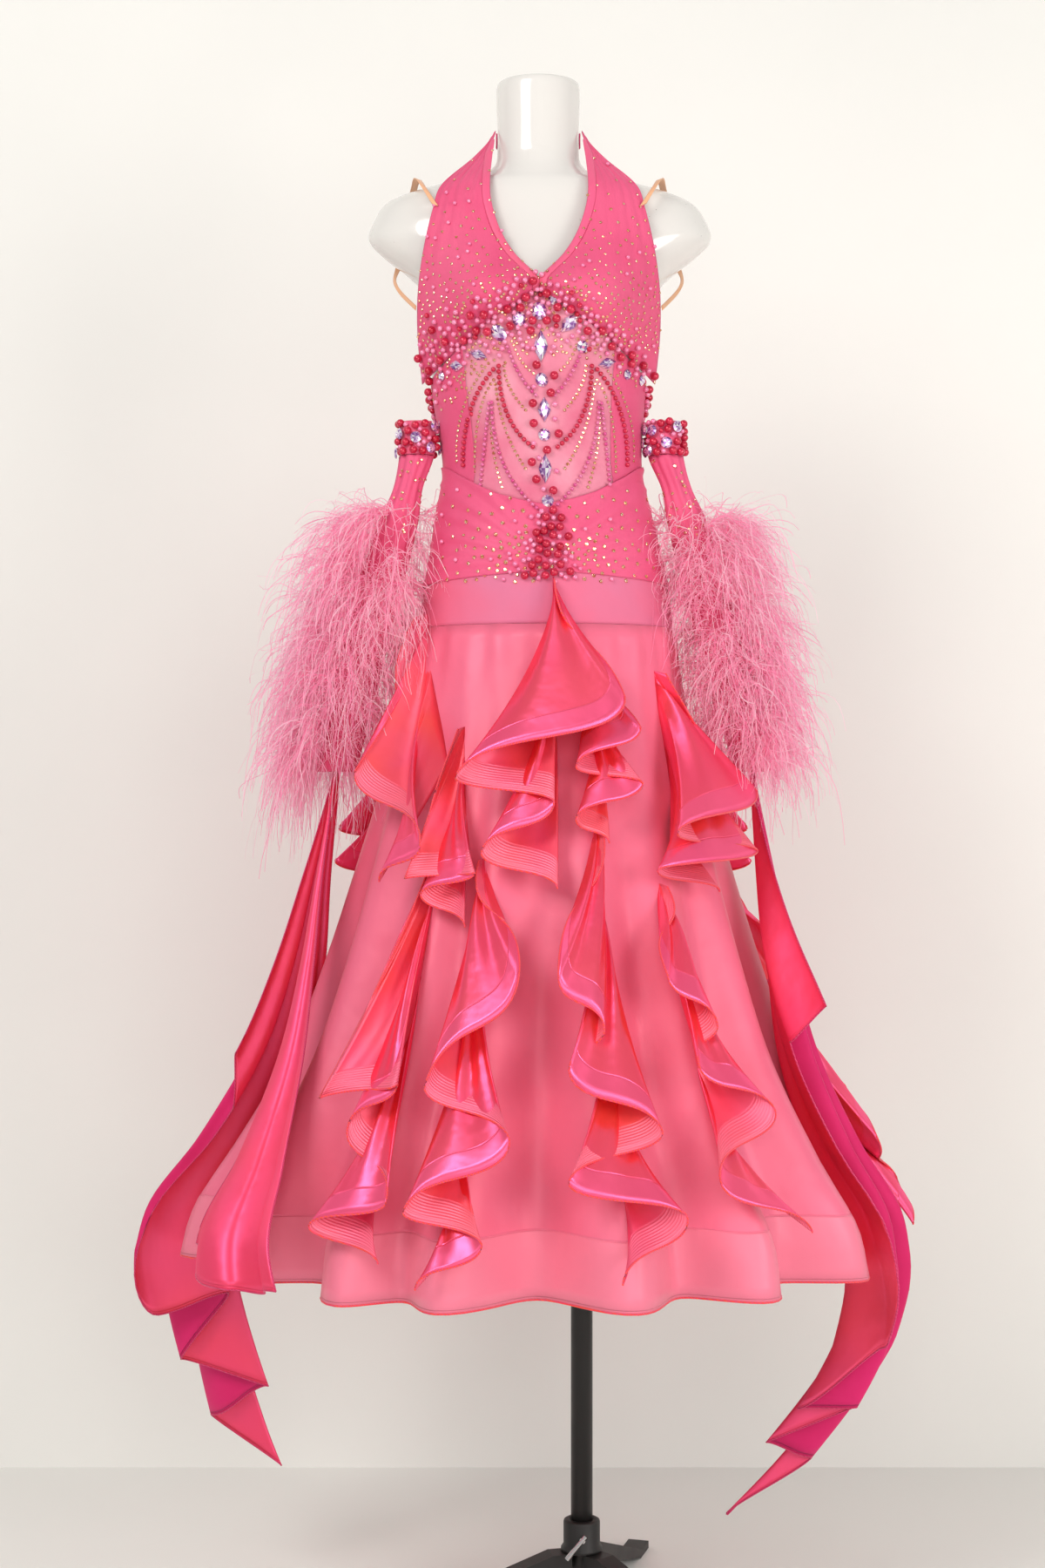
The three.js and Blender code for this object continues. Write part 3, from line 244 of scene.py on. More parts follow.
# Sleeve axis from the float end up to the beaded armband, with the limp tube's half width and depth.
SLEEVES = {
    "left": table(
        "z x y wide deep",
        (1376, -187.2, -14, 20, 17), (1338, -188.4, -14, 20, 17), (1300, -199, -13, 17, 15),
        (1262, -210, -12, 23, 17), (1160, -238, -10, 26, 20), (1060, -262, -10, 25, 20),
        (975, -282, -10, 23, 19)),
    "right": table(
        "z x y wide deep",
        (1376, 93.6, -14, 20, 17), (1338, 95.6, -14, 20, 17), (1300, 108, -13, 17, 15),
        (1262, 120, -12, 23, 17), (1160, 148, -10, 26, 20), (1060, 176, -10, 25, 20),
        (975, 198, -10, 23, 19)),
}
BAND_Z, BAND_TOP = 1338, 1376
CUFF_TOP, CUFF_BOTTOM = 1262, 1062


# ---------------------------------------------------------------- places on the figure

def on_body(tab, deg, z, off=0.0):
    """Point at an angle from the front, a height and a stand-off."""
    deg, z = np.broadcast_arrays(np.asarray(deg, dtype=float), np.asarray(z, dtype=float))
    a = np.radians(deg)
    depth = np.where(np.cos(a) > 0, read(tab, "front", z), read(tab, "back", z)) + off
    wide = read(tab, "rx", z) + off
    return np.stack([read(tab, "cx", z) + wide * np.sin(a), -depth * np.cos(a), z], axis=-1)


def bust(x, z, y, fullness):
    reach = (np.abs(x - BODY_X) - BUST_X) ** 2 + (z - BUST_Z) ** 2
    return fullness * np.exp(-reach / BUST_R**2) * np.clip(-y / 60, 0, 1)


def form_front(x, z):
    side = (x - read(FORM, "cx", z)) / read(FORM, "rx", z)
    depth = read(FORM, "front", z) * np.sqrt(np.clip(1 - side * side, 0, 1))
    return np.where(np.abs(side) >= 1, 0, depth + bust(x, z, -depth, BUST_FORM))


def flute_fall(deg, z):
    """How deep the skirt falls in between two crests."""
    turned = (np.asarray(deg, dtype=float) - CRESTS[0]) % 360 + CRESTS[0]
    i = np.clip(np.searchsorted(CRESTS, turned, side="right") - 1, 0, len(CRESTS) - 2)
    low, high = CRESTS[i], CRESTS[i + 1]
    wave = (1 - np.cos(2 * np.pi * (turned - low) / (high - low))) / 2
    return read(FIGURE, "flute", z) * wave * np.minimum(1, (high - low) / FULL_FLUTE)


def steps(count):
    return np.linspace(0, 1, count + 1)


def unit(way):
    return way / np.maximum(np.linalg.norm(way, axis=-1, keepdims=True), 1e-9)


def cells(rows, columns):
    """Row number and column number of every cell of a grid."""
    return [part.ravel() for part in np.meshgrid(np.arange(rows), np.arange(columns), indexing="ij")]


def tube_faces(count, sides, closed=False):
    """Faces of a tube of rings, closed where its last ring meets its first."""
    i, k = cells(count if closed else count - 1, sides)
    after, k2 = (i + 1) % count, (k + 1) % sides
    return np.stack([i * sides + k, i * sides + k2, after * sides + k2, after * sides + k], axis=-1)


# ---------------------------------------------------------------- meshes

def normals_of(grid, closed=False):
    if closed:
        along = np.roll(grid, -1, axis=0) - np.roll(grid, 1, axis=0)
    else:
        along = np.gradient(grid, axis=0)
    return unit(np.cross(along, np.gradient(grid, axis=1)))


def mesh_piece(name, points, faces, finishes, which=None, smooth=True, uv=None, caps=()):
    """Object from points in millimetres; which holds each face's material, uv each face corner's place, and
    caps the many-sided faces that close its ends."""
    mesh = bpy.data.meshes.new(name)
    place = np.asarray(points, dtype=float) * MM + AXIS
    mesh.from_pydata(place.tolist(), [], np.asarray(faces).tolist() + list(caps))
    mesh.polygons.foreach_set("use_smooth", np.full(len(mesh.polygons), smooth))
    for finish in finishes:
        mesh.materials.append(finish)
    if which is not None:
        mesh.polygons.foreach_set("material_index", np.asarray(which, dtype=np.int32))
    if uv is not None:
        layer = mesh.uv_layers.new(name="cloth")
        layer.data.foreach_set("uv", np.asarray(uv, dtype=np.float32).ravel())
    mesh.update()
    piece = bpy.data.objects.new(name, mesh)
    bpy.context.scene.collection.objects.link(piece)
    return piece


def settle(piece, slot, *nodes):
    """The piece rides on the one body and stands for its nodes, which are hidden. slot is not used."""
    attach(piece, "root")
    if nodes:
        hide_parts(*nodes)
    return piece


def shell(name, grid, thick, finishes, closed=False, edge_last=True):
    """Thin cloth on a grid of points. Its UVs are metres along the grid and metres from the free edge."""
    rows, cols = grid.shape[:2]
    n = normals_of(grid, closed)
    points = np.concatenate([(grid + n * thick / 2).reshape(-1, 3), (grid - n * thick / 2).reshape(-1, 3)])
    full = np.concatenate([grid, grid[:1]]) if closed else grid
    across = np.linalg.norm(np.diff(full, axis=1), axis=-1)
    run = np.concatenate([np.zeros((len(full), 1)), np.cumsum(across, axis=1)], axis=1)
    v = run[:, -1:] - run if edge_last else run
    edge = full[:, -1 if edge_last else 0]
    along = np.concatenate([[0], np.cumsum(np.linalg.norm(np.diff(edge, axis=0), axis=-1))])
    place = np.stack([np.broadcast_to(along[:, None], v.shape), v], axis=-1) * MM

    def corner(layer, i, j):
        return layer * rows * cols + (i % rows) * cols + j

    i, j = cells(len(full) - 1, cols - 1)
    sets = []
    for layer, order in ((0, ((0, 0), (1, 0), (1, 1), (0, 1))), (1, ((0, 0), (0, 1), (1, 1), (1, 0)))):
        quads = np.stack([corner(layer, i + a, j + b) for a, b in order], axis=-1)
        sets.append((quads, np.stack([place[i + a, j + b] for a, b in order], axis=1), layer))
    e = np.arange(len(full) - 1)
    for col, flip in ((0, 1), (cols - 1, 0)):
        ring = [(0, e, col), (0, e + 1, col), (1, e + 1, col), (1, e, col)]
        ring = ring[::-1] if flip else ring
        sets.append((np.stack([corner(a, b, c) for a, b, c in ring], axis=-1),
                     np.stack([place[b, c] for _, b, c in ring], axis=1), 0))
    if not closed:
        e = np.arange(cols - 1)
        for row, flip in ((0, 0), (rows - 1, 1)):
            ring = [(0, row, e), (0, row, e + 1), (1, row, e + 1), (1, row, e)]
            ring = ring[::-1] if flip else ring
            sets.append((np.stack([corner(a, b, c) for a, b, c in ring], axis=-1),
                         np.stack([place[b, c] for _, b, c in ring], axis=1), 0))
    faces = np.concatenate([s[0] for s in sets])
    uv = np.concatenate([s[1] for s in sets])
    which = np.concatenate([np.full(len(s[0]), min(s[2], len(finishes) - 1)) for s in sets])
    return mesh_piece(name, points, faces, finishes, which, True, uv)


# kept over the 0.3 that a declared area has to reach
LEAST_SHARE = 0.35  # of width times length, the least share that the cut's area is kept at
NARROWEST = 0.0102  # metres, just over the least length that can be declared


def cloth_cut(grid, closed=False):
    """Where the hem is so much longer than the seam that the area is a small share of the two, the second is
    made shorter."""
    full = np.concatenate([grid, grid[:1]]) if closed else grid
    width = np.linalg.norm(np.diff(full, axis=0), axis=-1).sum(axis=0).max() * MM
    length = np.linalg.norm(np.diff(full, axis=1), axis=-1).sum(axis=1).max() * MM
    area = 0.0
    p, q, r, s = full[:-1, :-1], full[1:, :-1], full[:-1, 1:], full[1:, 1:]
    for a, b, c in ((p, q, r), (s, r, q)):
        area += float(np.linalg.norm(np.cross(b - a, c - a), axis=-1).sum()) / 2 * MM * MM
    length = min(length, area / (LEAST_SHARE * width))
    area = min(area, width * length)
    length = max(length, NARROWEST)


def lay_cloth(name, grid, looks, slot, stands_for, thick, closed=False, edge_last=True):
    """A sheet of cloth with its looks that stands for its node. Its cut is worked out but not declared."""
    piece = shell(name, grid, thick, [finish(look) for look in looks], closed, edge_last)
    settle(piece, slot, stands_for)
    cloth_cut(grid, closed)


def cord_along(line, radius, sides=6, closed=False):
    """Points and faces of a thin roll along a line."""
    tangent = (np.roll(line, -1, axis=0) - np.roll(line, 1, axis=0)) if closed else np.gradient(line, axis=0)
    tangent = unit(tangent)
    up = np.where(np.abs(tangent[:, 2:]) > 0.9, np.array([[1.0, 0, 0]]), np.array([[0, 0, 1.0]]))
    wide = unit(np.cross(up, tangent))
    high = np.cross(tangent, wide)
    turn = 2 * np.pi * np.arange(sides) / sides
    ring = wide[:, None] * np.cos(turn)[None, :, None] + high[:, None] * np.sin(turn)[None, :, None]
    points = (line[:, None] + ring * radius).reshape(-1, 3)
    return points, tube_faces(len(line), sides, closed)


def joined(parts):
    """One point list and one face list from several."""
    points, faces, base = [], [], 0
    for p, f in parts:
        points.append(p)
        faces.append(np.asarray(f) + base)
        base += len(p)
    return np.concatenate(points), np.concatenate(faces)


def turned(profile, sides):
    """Closed solid of revolution round the pole's axis from (radius, z) pairs."""
    turn = 2 * np.pi * np.arange(sides) / sides
    points = np.array([[r * math.cos(a), r * math.sin(a), z] for r, z in profile for a in turn])
    return points, tube_faces(len(profile), sides, closed=True)


# ---------------------------------------------------------------- materials

HEM_BLUR = 0.0006  # metres over which a hem band's colour begins


def node(tree, kind, inputs=None, **settings):
    """Adds a node and sets its settings. Its inputs are values, sockets, or nodes that give their first
    output."""
    made = tree.nodes.new("ShaderNode" + kind)
    for key, value in settings.items():
        setattr(made, key, value)
    for key, value in (inputs or {}).items():
        if isinstance(value, bpy.types.Node):
            value = value.outputs[0]
        if isinstance(value, bpy.types.NodeSocket):
            tree.links.new(value, made.inputs[key])
        else:
            made.inputs[key].default_value = value
    return made


def new_finish(name):
    """Empty material and its node tree."""
    finish = bpy.data.materials.new(name)
    finish.use_nodes = True
    finish.node_tree.nodes.clear()
    return finish, finish.node_tree


def dyed(tree, place, scale, detail, span, ground, shade):
    """Uneven dye: a slow drift from one shade to the other."""
    drift = node(tree, "TexNoise", {"Vector": place, "Scale": scale, "Detail": detail})
    share = node(tree, "MapRange", {"Value": drift, "From Min": span[0], "From Max": span[1]})
    return node(tree, "Mix", {"Factor": share, 6: ground, 7: shade}, data_type="RGBA").outputs[2]


def tinted(tree, colour, share, strength, tint):
    """The colour with a tint laid over a share of it."""
    much = node(tree, "Math", {0: share, 1: strength}, operation="MULTIPLY")
    return node(tree, "Mix", {"Factor": much, 6: colour, 7: tint}, data_type="RGBA").outputs[2]


def grooved(tree, height, from_edge, at, wide, deep):
    """The height with a fine groove sewn along the cloth, at one distance from its edge."""
    away = node(tree, "Math", {0: from_edge, 1: at}, operation="SUBTRACT")
    away = node(tree, "Math", {0: away}, operation="ABSOLUTE")
    share = node(tree, "MapRange", {"Value": away, "From Min": wide, "From Max": 0.0})
    return node(tree, "Math", {0: share, 1: -deep, 2: height}, operation="MULTIPLY_ADD")


def satin_finish(name, ground, shot, sheen, band=0.028, band_shade=0.0, rows=0, rough=0.34, crisp=1.0,
                 gloss=0.54):
    """Duchess satin woven with an orange-red warp and a pink weft: the body colour stays warm red and the
    gloss comes back pink, stretched across the floating threads. band is the stiffened hem's width in
    metres. The hem band's base colour is tinted towards the gloss colour as a painted sheen, and the
    crests of its stitched rows take a painted highlight in that colour."""
    finish, tree = new_finish(name)
    cloth = node(tree, "UVMap", uv_map="cloth")
    from_edge = node(tree, "SeparateXYZ", {0: cloth}).outputs[1]
    place = node(tree, "TexCoord").outputs["Object"]
    colour = dyed(tree, place, 9.0, 2.0, (0.35, 0.7), ground, shot)
    in_band = node(tree, "MapRange", {"Value": from_edge, "From Min": band + HEM_BLUR,
                                      "From Max": band - HEM_BLUR})
    # Painted sheen: the hem band's base colour is tinted towards the gloss colour.
    colour = tinted(tree, colour, in_band, band_shade, sheen)
    # Warp threads are 0.1 mm apart, too fine to show, so they are drawn 0.9 mm apart as a faint long grain.
    long_way = node(tree, "Mapping", {"Vector": cloth, "Scale": (1100.0, 90.0, 1.0)})
    grain = node(tree, "TexNoise", {"Vector": long_way, "Scale": 1.0, "Detail": 2.0})
    rumple = node(tree, "TexNoise", {"Vector": place, "Scale": 16.0, "Detail": 3.0, "Roughness": 0.45})
    height = node(tree, "Math", {0: rumple, 1: 3.2 * crisp}, operation="MULTIPLY")
    height = node(tree, "Math", {0: grain, 1: 0.05, 2: height}, operation="MULTIPLY_ADD")
    height = grooved(tree, height, from_edge, band, 0.0012, 0.3)
    if rows:  # lines of stitching through the stiffened hem
        wave = node(tree, "Math", {0: from_edge, 1: 2 * math.pi * rows / band}, operation="MULTIPLY")
        wave = node(tree, "Math", {0: wave}, operation="SINE")
        ridge = node(tree, "Math", {0: wave, 1: in_band}, operation="MULTIPLY")
        height = node(tree, "Math", {0: ridge, 1: 0.16, 2: height}, operation="MULTIPLY_ADD")
        # Painted highlight: the crests of the stitched rows are tinted towards the gloss colour.
        painted_crest_highlight = node(tree, "MapRange", {"Value": wave, "From Min": 0.2, "From Max": 1.0})
        painted_crest_highlight = node(tree, "Math", {0: painted_crest_highlight, 1: in_band}, operation="MULTIPLY")
        colour = tinted(tree, colour, painted_crest_highlight, 0.4, sheen)
    bump = node(tree, "Bump", {"Height": height, "Distance": 0.0011, "Strength": 0.9})
    along = node(tree, "Tangent", direction_type="UV_MAP", uv_map="cloth")
    body = node(tree, "BsdfPrincipled", {
        "Base Color": colour, "Roughness": 0.6, "IOR": 1.5, "Sheen Weight": 0.1, "Sheen Tint": sheen,
        "Sheen Roughness": 0.4, "Normal": bump})
    threads = node(tree, "BsdfAnisotropic", {
        "Color": sheen, "Roughness": rough, "Anisotropy": 0.5, "Rotation": 0.25, "Tangent": along,
        "Normal": bump})
    node(tree, "OutputMaterial", {0: node(tree, "MixShader", {0: gloss, 1: body, 2: threads})})
    return finish


def thread_finish(name, ground, shade):
    """Rolled hem overlocked with soft rayon thread. Its stitches are 0.5 mm apart, drawn 2 mm apart to
    show."""
    finish, tree = new_finish(name)
    place = node(tree, "TexCoord").outputs["Object"]
    wraps = node(tree, "TexWave", {"Vector": place, "Scale": 160.0, "Distortion": 1.5},
                 bands_direction="DIAGONAL").outputs["Fac"]
    bump = node(tree, "Bump", {"Height": wraps, "Distance": 0.0006, "Strength": 0.7})
    colour = tinted(tree, shade, wraps, 1.0, ground)
    face = node(tree, "BsdfPrincipled", {
        "Base Color": colour, "Roughness": 0.5, "IOR": 1.5, "Sheen Weight": 0.2, "Normal": bump})
    node(tree, "OutputMaterial", {0: face})
    return finish


def crepe_finish(name, ground, shade, sheen, facing=None, band=0.0, rough=0.55, ior=1.6):
    """Satin-backed crepe: a matt, softly pebbled weave with a low warm sheen. band is the hem facing's width
    in metres, whose seam shows as a fine groove."""
    finish, tree = new_finish(name)
    cloth = node(tree, "UVMap", uv_map="cloth")
    from_edge = node(tree, "SeparateXYZ", {0: cloth}).outputs[1]
    place = node(tree, "TexCoord").outputs["Object"]
    colour = dyed(tree, place, 7.0, 3.0, (0.35, 0.7), ground, shade)
    # Crepe pebbles are 0.3 mm across, drawn at 1.2 mm so that they show.
    even = node(tree, "Mapping", {"Vector": cloth, "Scale": (830.0, 830.0, 1.0)})
    pebble = node(tree, "TexNoise", {"Vector": even, "Scale": 1.0, "Detail": 2.0})
    rumple = node(tree, "TexNoise", {"Vector": place, "Scale": 11.0, "Detail": 3.0})
    height = node(tree, "Math", {0: rumple, 1: 4.0}, operation="MULTIPLY")
    height = node(tree, "Math", {0: pebble, 1: 0.1, 2: height}, operation="MULTIPLY_ADD")
    if band:
        inside = node(tree, "MapRange", {"Value": from_edge, "From Min": band + HEM_BLUR,
                                         "From Max": band - HEM_BLUR})
        colour = tinted(tree, colour, inside, 0.75, facing)
        height = grooved(tree, height, from_edge, band, 0.0016, 0.8)
        height = grooved(tree, height, from_edge, 0.003, 0.0009, 0.5)  # the edge's own row of stitches
    bump = node(tree, "Bump", {"Height": height, "Distance": 0.0012, "Strength": 0.8})
    along = node(tree, "Tangent", direction_type="UV_MAP", uv_map="cloth")
    face = node(tree, "BsdfPrincipled", {
        "Base Color": colour, "Roughness": rough, "IOR": ior, "Specular Tint": sheen, "Anisotropic": 0.4,
        "Tangent": along, "Sheen Weight": 0.35, "Sheen Tint": sheen, "Sheen Roughness": 0.5, "Normal": bump})
    node(tree, "OutputMaterial", {0: face})
    return finish


def stretch_mesh_finish(name, ground, shade, sheen, see_through=False):
    """Power mesh, a warp-knitted net of fine nylon and elastane: matt with a slight sparkle off its yarns.
    Its holes are 0.5 mm apart, drawn 1.4 mm apart to show. The sheer one shows the form behind it."""
    finish, tree = new_finish(name)
    cloth = node(tree, "UVMap", uv_map="cloth")
    place = node(tree, "TexCoord").outputs["Object"]
    stretched = node(tree, "Mapping", {"Vector": place, "Scale": (160.0, 60.0, 9.0)})
    ribs = node(tree, "TexNoise", {"Vector": stretched, "Scale": 1.0, "Detail": 2.0})
    net = node(tree, "TexVoronoi", {"Vector": cloth, "Scale": 714.0, "Randomness": 0.35})
    hole = node(tree, "MapRange", {"Value": net.outputs["Distance"], "From Min": 0.42, "From Max": 0.12})
    colour = dyed(tree, place, 12.0, 4.0, (0.3, 0.75), ground, shade)
    colour = tinted(tree, colour, hole, 0.22, shade)
    height = node(tree, "Math", {0: ribs, 1: 0.9}, operation="MULTIPLY")
    height = node(tree, "Math", {0: hole, 1: -0.25, 2: height}, operation="MULTIPLY_ADD")
    bump = node(tree, "Bump", {"Height": height, "Distance": 0.0007, "Strength": 0.8})
    clear = sizes().sheer if see_through else 0.0
    face = node(tree, "BsdfPrincipled", {
        "Base Color": colour, "Roughness": 0.62, "IOR": 1.5, "Sheen Weight": 0.45, "Sheen Tint": sheen,
        "Sheen Roughness": 0.35, "Normal": bump, "Alpha": 1.0 - clear})
    node(tree, "OutputMaterial", {0: face})
    return finish


def pearl_finish(name, ground, lustre):
    """Glass pearl dipped in pearlescent lacquer: deep colour, a soft inner glow and a hard clear gloss."""
    finish, tree = new_finish(name)
    island = node(tree, "NewGeometry").outputs["Random Per Island"]
    rim = node(tree, "LayerWeight", {"Blend": 0.35}).outputs["Facing"]
    body = node(tree, "BsdfPrincipled", {
        "Base Color": tinted(tree, ground, island, 0.35, lustre), "Roughness": 0.24, "IOR": 1.6,
        "Metallic": 0.25, "Specular Tint": lustre, "Coat Weight": 1.0, "Coat Roughness": 0.06,
        "Sheen Weight": 0.3, "Sheen Tint": lustre})
    glow = node(tree, "BsdfPrincipled", {"Base Color": lustre, "Roughness": 0.3, "Coat Weight": 1.0})
    share = node(tree, "Math", {0: rim, 1: 0.25}, operation="MULTIPLY")
    node(tree, "OutputMaterial", {0: node(tree, "MixShader", {0: share, 1: body, 2: glow})})
    return finish


def crystal_finish(name, ground, flash, bright):
    """Foil-backed cut glass with painted reflections: by its turn, each facet's base colour is the ground,
    a painted flash or a brighter painted glint, warm or cool.
    """
    finish, tree = new_finish(name)
    shape = node(tree, "NewGeometry")
    facet = node(tree, "TexWhiteNoise", {"Vector": shape.outputs["True Normal"]}, noise_dimensions="3D")
    turn = node(tree, "Math", {0: facet.outputs["Value"], 1: shape.outputs["Random Per Island"]},
                operation="ADD")
    turn = node(tree, "Math", {0: turn}, operation="FRACT")
    tone = ground
    # Painted reflections: some facets take the painted flash colour, some the brighter painted glint.
    for low, high, look in ((0.25, 0.55, flash), (0.72, 0.9, bright)):
        share = node(tree, "MapRange", {"Value": turn, "From Min": low, "From Max": high})
        tone = tinted(tree, tone, share, 1.0, look)
    face = node(tree, "BsdfPrincipled", {
        "Base Color": tone, "Roughness": 0.12, "Metallic": 0.6, "IOR": 1.6, "Coat Weight": 1.0,
        "Coat Roughness": 0.03})
    node(tree, "OutputMaterial", {0: face})
    return finish


def feather_finish(name, ground, tip):
    """Dyed ostrich barbs: hollow hair-fine keratin, matt and soft, that light passes through."""
    finish, tree = new_finish(name)
    tone = tinted(tree, ground, node(tree, "NewGeometry").outputs["Random Per Island"], 1.0, tip)
    face = node(tree, "BsdfPrincipled", {
        "Base Color": tone, "Roughness": 0.7, "IOR": 1.45, "Sheen Weight": 0.6, "Sheen Tint": tip,
        "Sheen Roughness": 0.4})
    through = node(tree, "BsdfTranslucent", {"Color": tone})
    node(tree, "OutputMaterial", {0: node(tree, "MixShader", {0: 0.55, 1: face, 2: through})})
    return finish


def form_finish(name, ground, scuff):
    """Fibreglass shell in sprayed white gloss lacquer, with small dark nicks on the shoulders from
    handling."""
    finish, tree = new_finish(name)
    place = node(tree, "TexCoord").outputs["Object"]
    high = node(tree, "SeparateXYZ", {0: place}).outputs[2]
    patch = node(tree, "TexNoise", {"Vector": place, "Scale": 22.0, "Detail": 1.0})
    speck = node(tree, "TexNoise", {"Vector": place, "Scale": 330.0, "Detail": 3.0})
    nick = 1.0
    for value, none, full in ((speck, 0.68, 0.72), (patch, 0.6, 0.66), (high, 1.555, 1.575),
                              (high, 1.66, 1.645)):
        share = node(tree, "MapRange", {"Value": value, "From Min": none, "From Max": full})
        nick = node(tree, "Math", {0: share, 1: nick}, operation="MULTIPLY")
    ripple = node(tree, "TexNoise", {"Vector": place, "Scale": 6.0, "Detail": 2.0})
    bump = node(tree, "Bump", {"Height": ripple, "Distance": 0.002, "Strength": 0.15})
    face = node(tree, "BsdfPrincipled", {
        "Base Color": tinted(tree, ground, nick, 1.0, scuff), "Roughness": 0.16, "IOR": 1.5,
        "Coat Weight": 0.6, "Coat Roughness": 0.05, "Normal": bump})
    node(tree, "OutputMaterial", {0: face})
    return finish


def paint_finish(name, ground, rough, metallic=0.0, grain=900.0):
    """Powder-coated steel or moulded nylon, satin black with a fine orange-peel grain about 1 mm across, or
    chromed steel, bright and nearly smooth."""
    finish, tree = new_finish(name)
    place = node(tree, "TexCoord").outputs["Object"]
    peel = node(tree, "TexNoise", {"Vector": place, "Scale": grain, "Detail": 2.0})
    wear = node(tree, "TexNoise", {"Vector": place, "Scale": 30.0, "Detail": 4.0})
    bump = node(tree, "Bump", {"Height": peel, "Distance": 0.0003, "Strength": 0.4})
    dull = node(tree, "MapRange", {"Value": wear, "To Min": rough - 0.06, "To Max": rough + 0.1})
    face = node(tree, "BsdfPrincipled", {
        "Base Color": ground, "Roughness": dull, "Metallic": metallic, "Normal": bump})
    node(tree, "OutputMaterial", {0: face})
    return finish


def stage_finish(name, ground, through_back=False):
    """Matt painted studio wall or floor. A wall seen from behind lets the light through."""
    finish, tree = new_finish(name)
    place = node(tree, "TexCoord").outputs["Object"]
    shade = tuple(c * 0.96 for c in ground[:3]) + (1.0,)
    surface = node(tree, "BsdfPrincipled", {
        "Base Color": dyed(tree, place, 1.5, 3.0, (0.3, 0.7), ground, shade), "Roughness": 0.9})
    if through_back:
        back = node(tree, "NewGeometry").outputs["Backfacing"]
        surface = node(tree, "MixShader", {0: back, 1: surface, 2: node(tree, "BsdfTransparent")})
    node(tree, "OutputMaterial", {0: surface})
    return finish


# Each look's maker, its material's name, its colours in the maker's order, and its other settings.
LOOKS = {
    # The flounce satin and its reverse tint their hem bands towards their gloss colours as painted sheen.
    "flounce_satin": (satin_finish, "duchess_satin_shot_red_pink", "satin satin_warm satin_shine",
                      {"band_shade": 0.3}),
    "flounce_reverse": (satin_finish, "satin_reverse_stitched_hem", "reverse satin_warm reverse_shine",
                        {"band": 0.03, "band_shade": 0.3, "rows": 9, "rough": 0.42, "crisp": 0.7,
                         "gloss": 0.25}),
    "hem_roll": (thread_finish, "rolled_hem_thread", "satin_warm reverse", {}),
    "float_roll": (thread_finish, "float_hem_thread", "float_back float_shade", {}),
    "float_face": (satin_finish, "float_satin_face", "float_face satin satin_shine",
                   {"band": 0.003, "rough": 0.42, "crisp": 0.8, "gloss": 0.34}),
    "float_back": (crepe_finish, "float_crepe_magenta", "float_back float_shade satin_shine float_shade",
                   {"band": 0.003, "rough": 0.5}),
    "skirt_face": (crepe_finish, "skirt_crepe_coral", "skirt skirt_shade skirt_shine skirt_facing",
                   {"band": 0.072, "rough": 0.4, "ior": 1.75}),
    "skirt_inside": (crepe_finish, "skirt_crepe_inside", "skirt_inside float_shade skirt_shine",
                     {"rough": 0.6}),
    "yoke": (crepe_finish, "yoke_crepe", "yoke skirt_shade skirt_shine", {"rough": 0.6, "ior": 1.5}),
    "mesh": (stretch_mesh_finish, "power_mesh_pink", "mesh mesh_shade mesh_shine", {}),
    "mesh_sheer": (stretch_mesh_finish, "power_mesh_sheer", "mesh_sheer mesh mesh_shine",
                   {"see_through": True}),
    "binding": (crepe_finish, "stretch_binding_pink", "mesh skirt_shade mesh_shine", {"rough": 0.5}),
    "pearl_red": (pearl_finish, "glass_pearl_red", "pearl_red pearl_glow", {}),
    "pearl_pink": (pearl_finish, "glass_pearl_pink", "pearl_pink pearl_pale", {}),
    "pearl_magenta": (pearl_finish, "glass_bead_magenta", "pearl_magenta pearl_pale", {}),
    "stone": (crystal_finish, "cut_glass_peach", "stone stone_warm stone_pale", {}),
    "jewel": (crystal_finish, "cut_glass_lilac", "jewel_deep jewel jewel_pale", {}),
    "feather": (feather_finish, "ostrich_barbs_pink", "feather feather_tip", {}),
    "elastic": (crepe_finish, "knitted_elastic_nude", "elastic elastic form", {"rough": 0.6}),
    "form": (form_finish, "lacquered_fibreglass_white", "form stand", {}),
    "pole": (paint_finish, "powder_coated_steel_black", "stand", {"rough": 0.38, "metallic": 0.2}),
    "moulding": (paint_finish, "moulded_nylon_black", "stand", {"rough": 0.5}),
    "chrome": (paint_finish, "chromed_steel", "chrome", {"rough": 0.14, "metallic": 1.0, "grain": 300.0}),
}
FINISHES = {}


def finish(look):
    """Material of that look, made once from the gown's colours."""
    if look not in FINISHES:
        maker, name, keys, settings = LOOKS[look]
        colours = [tuple(getattr(bpy.context.scene.gown_colours, key)) for key in keys.split()]
        FINISHES[look] = maker(name, *colours, **settings)
    return FINISHES[look]


def colour(label, note, code):
    return FloatVectorProperty(name=label, description=note, size=4, subtype="COLOR", min=0, max=1,
                               default=linear(code))


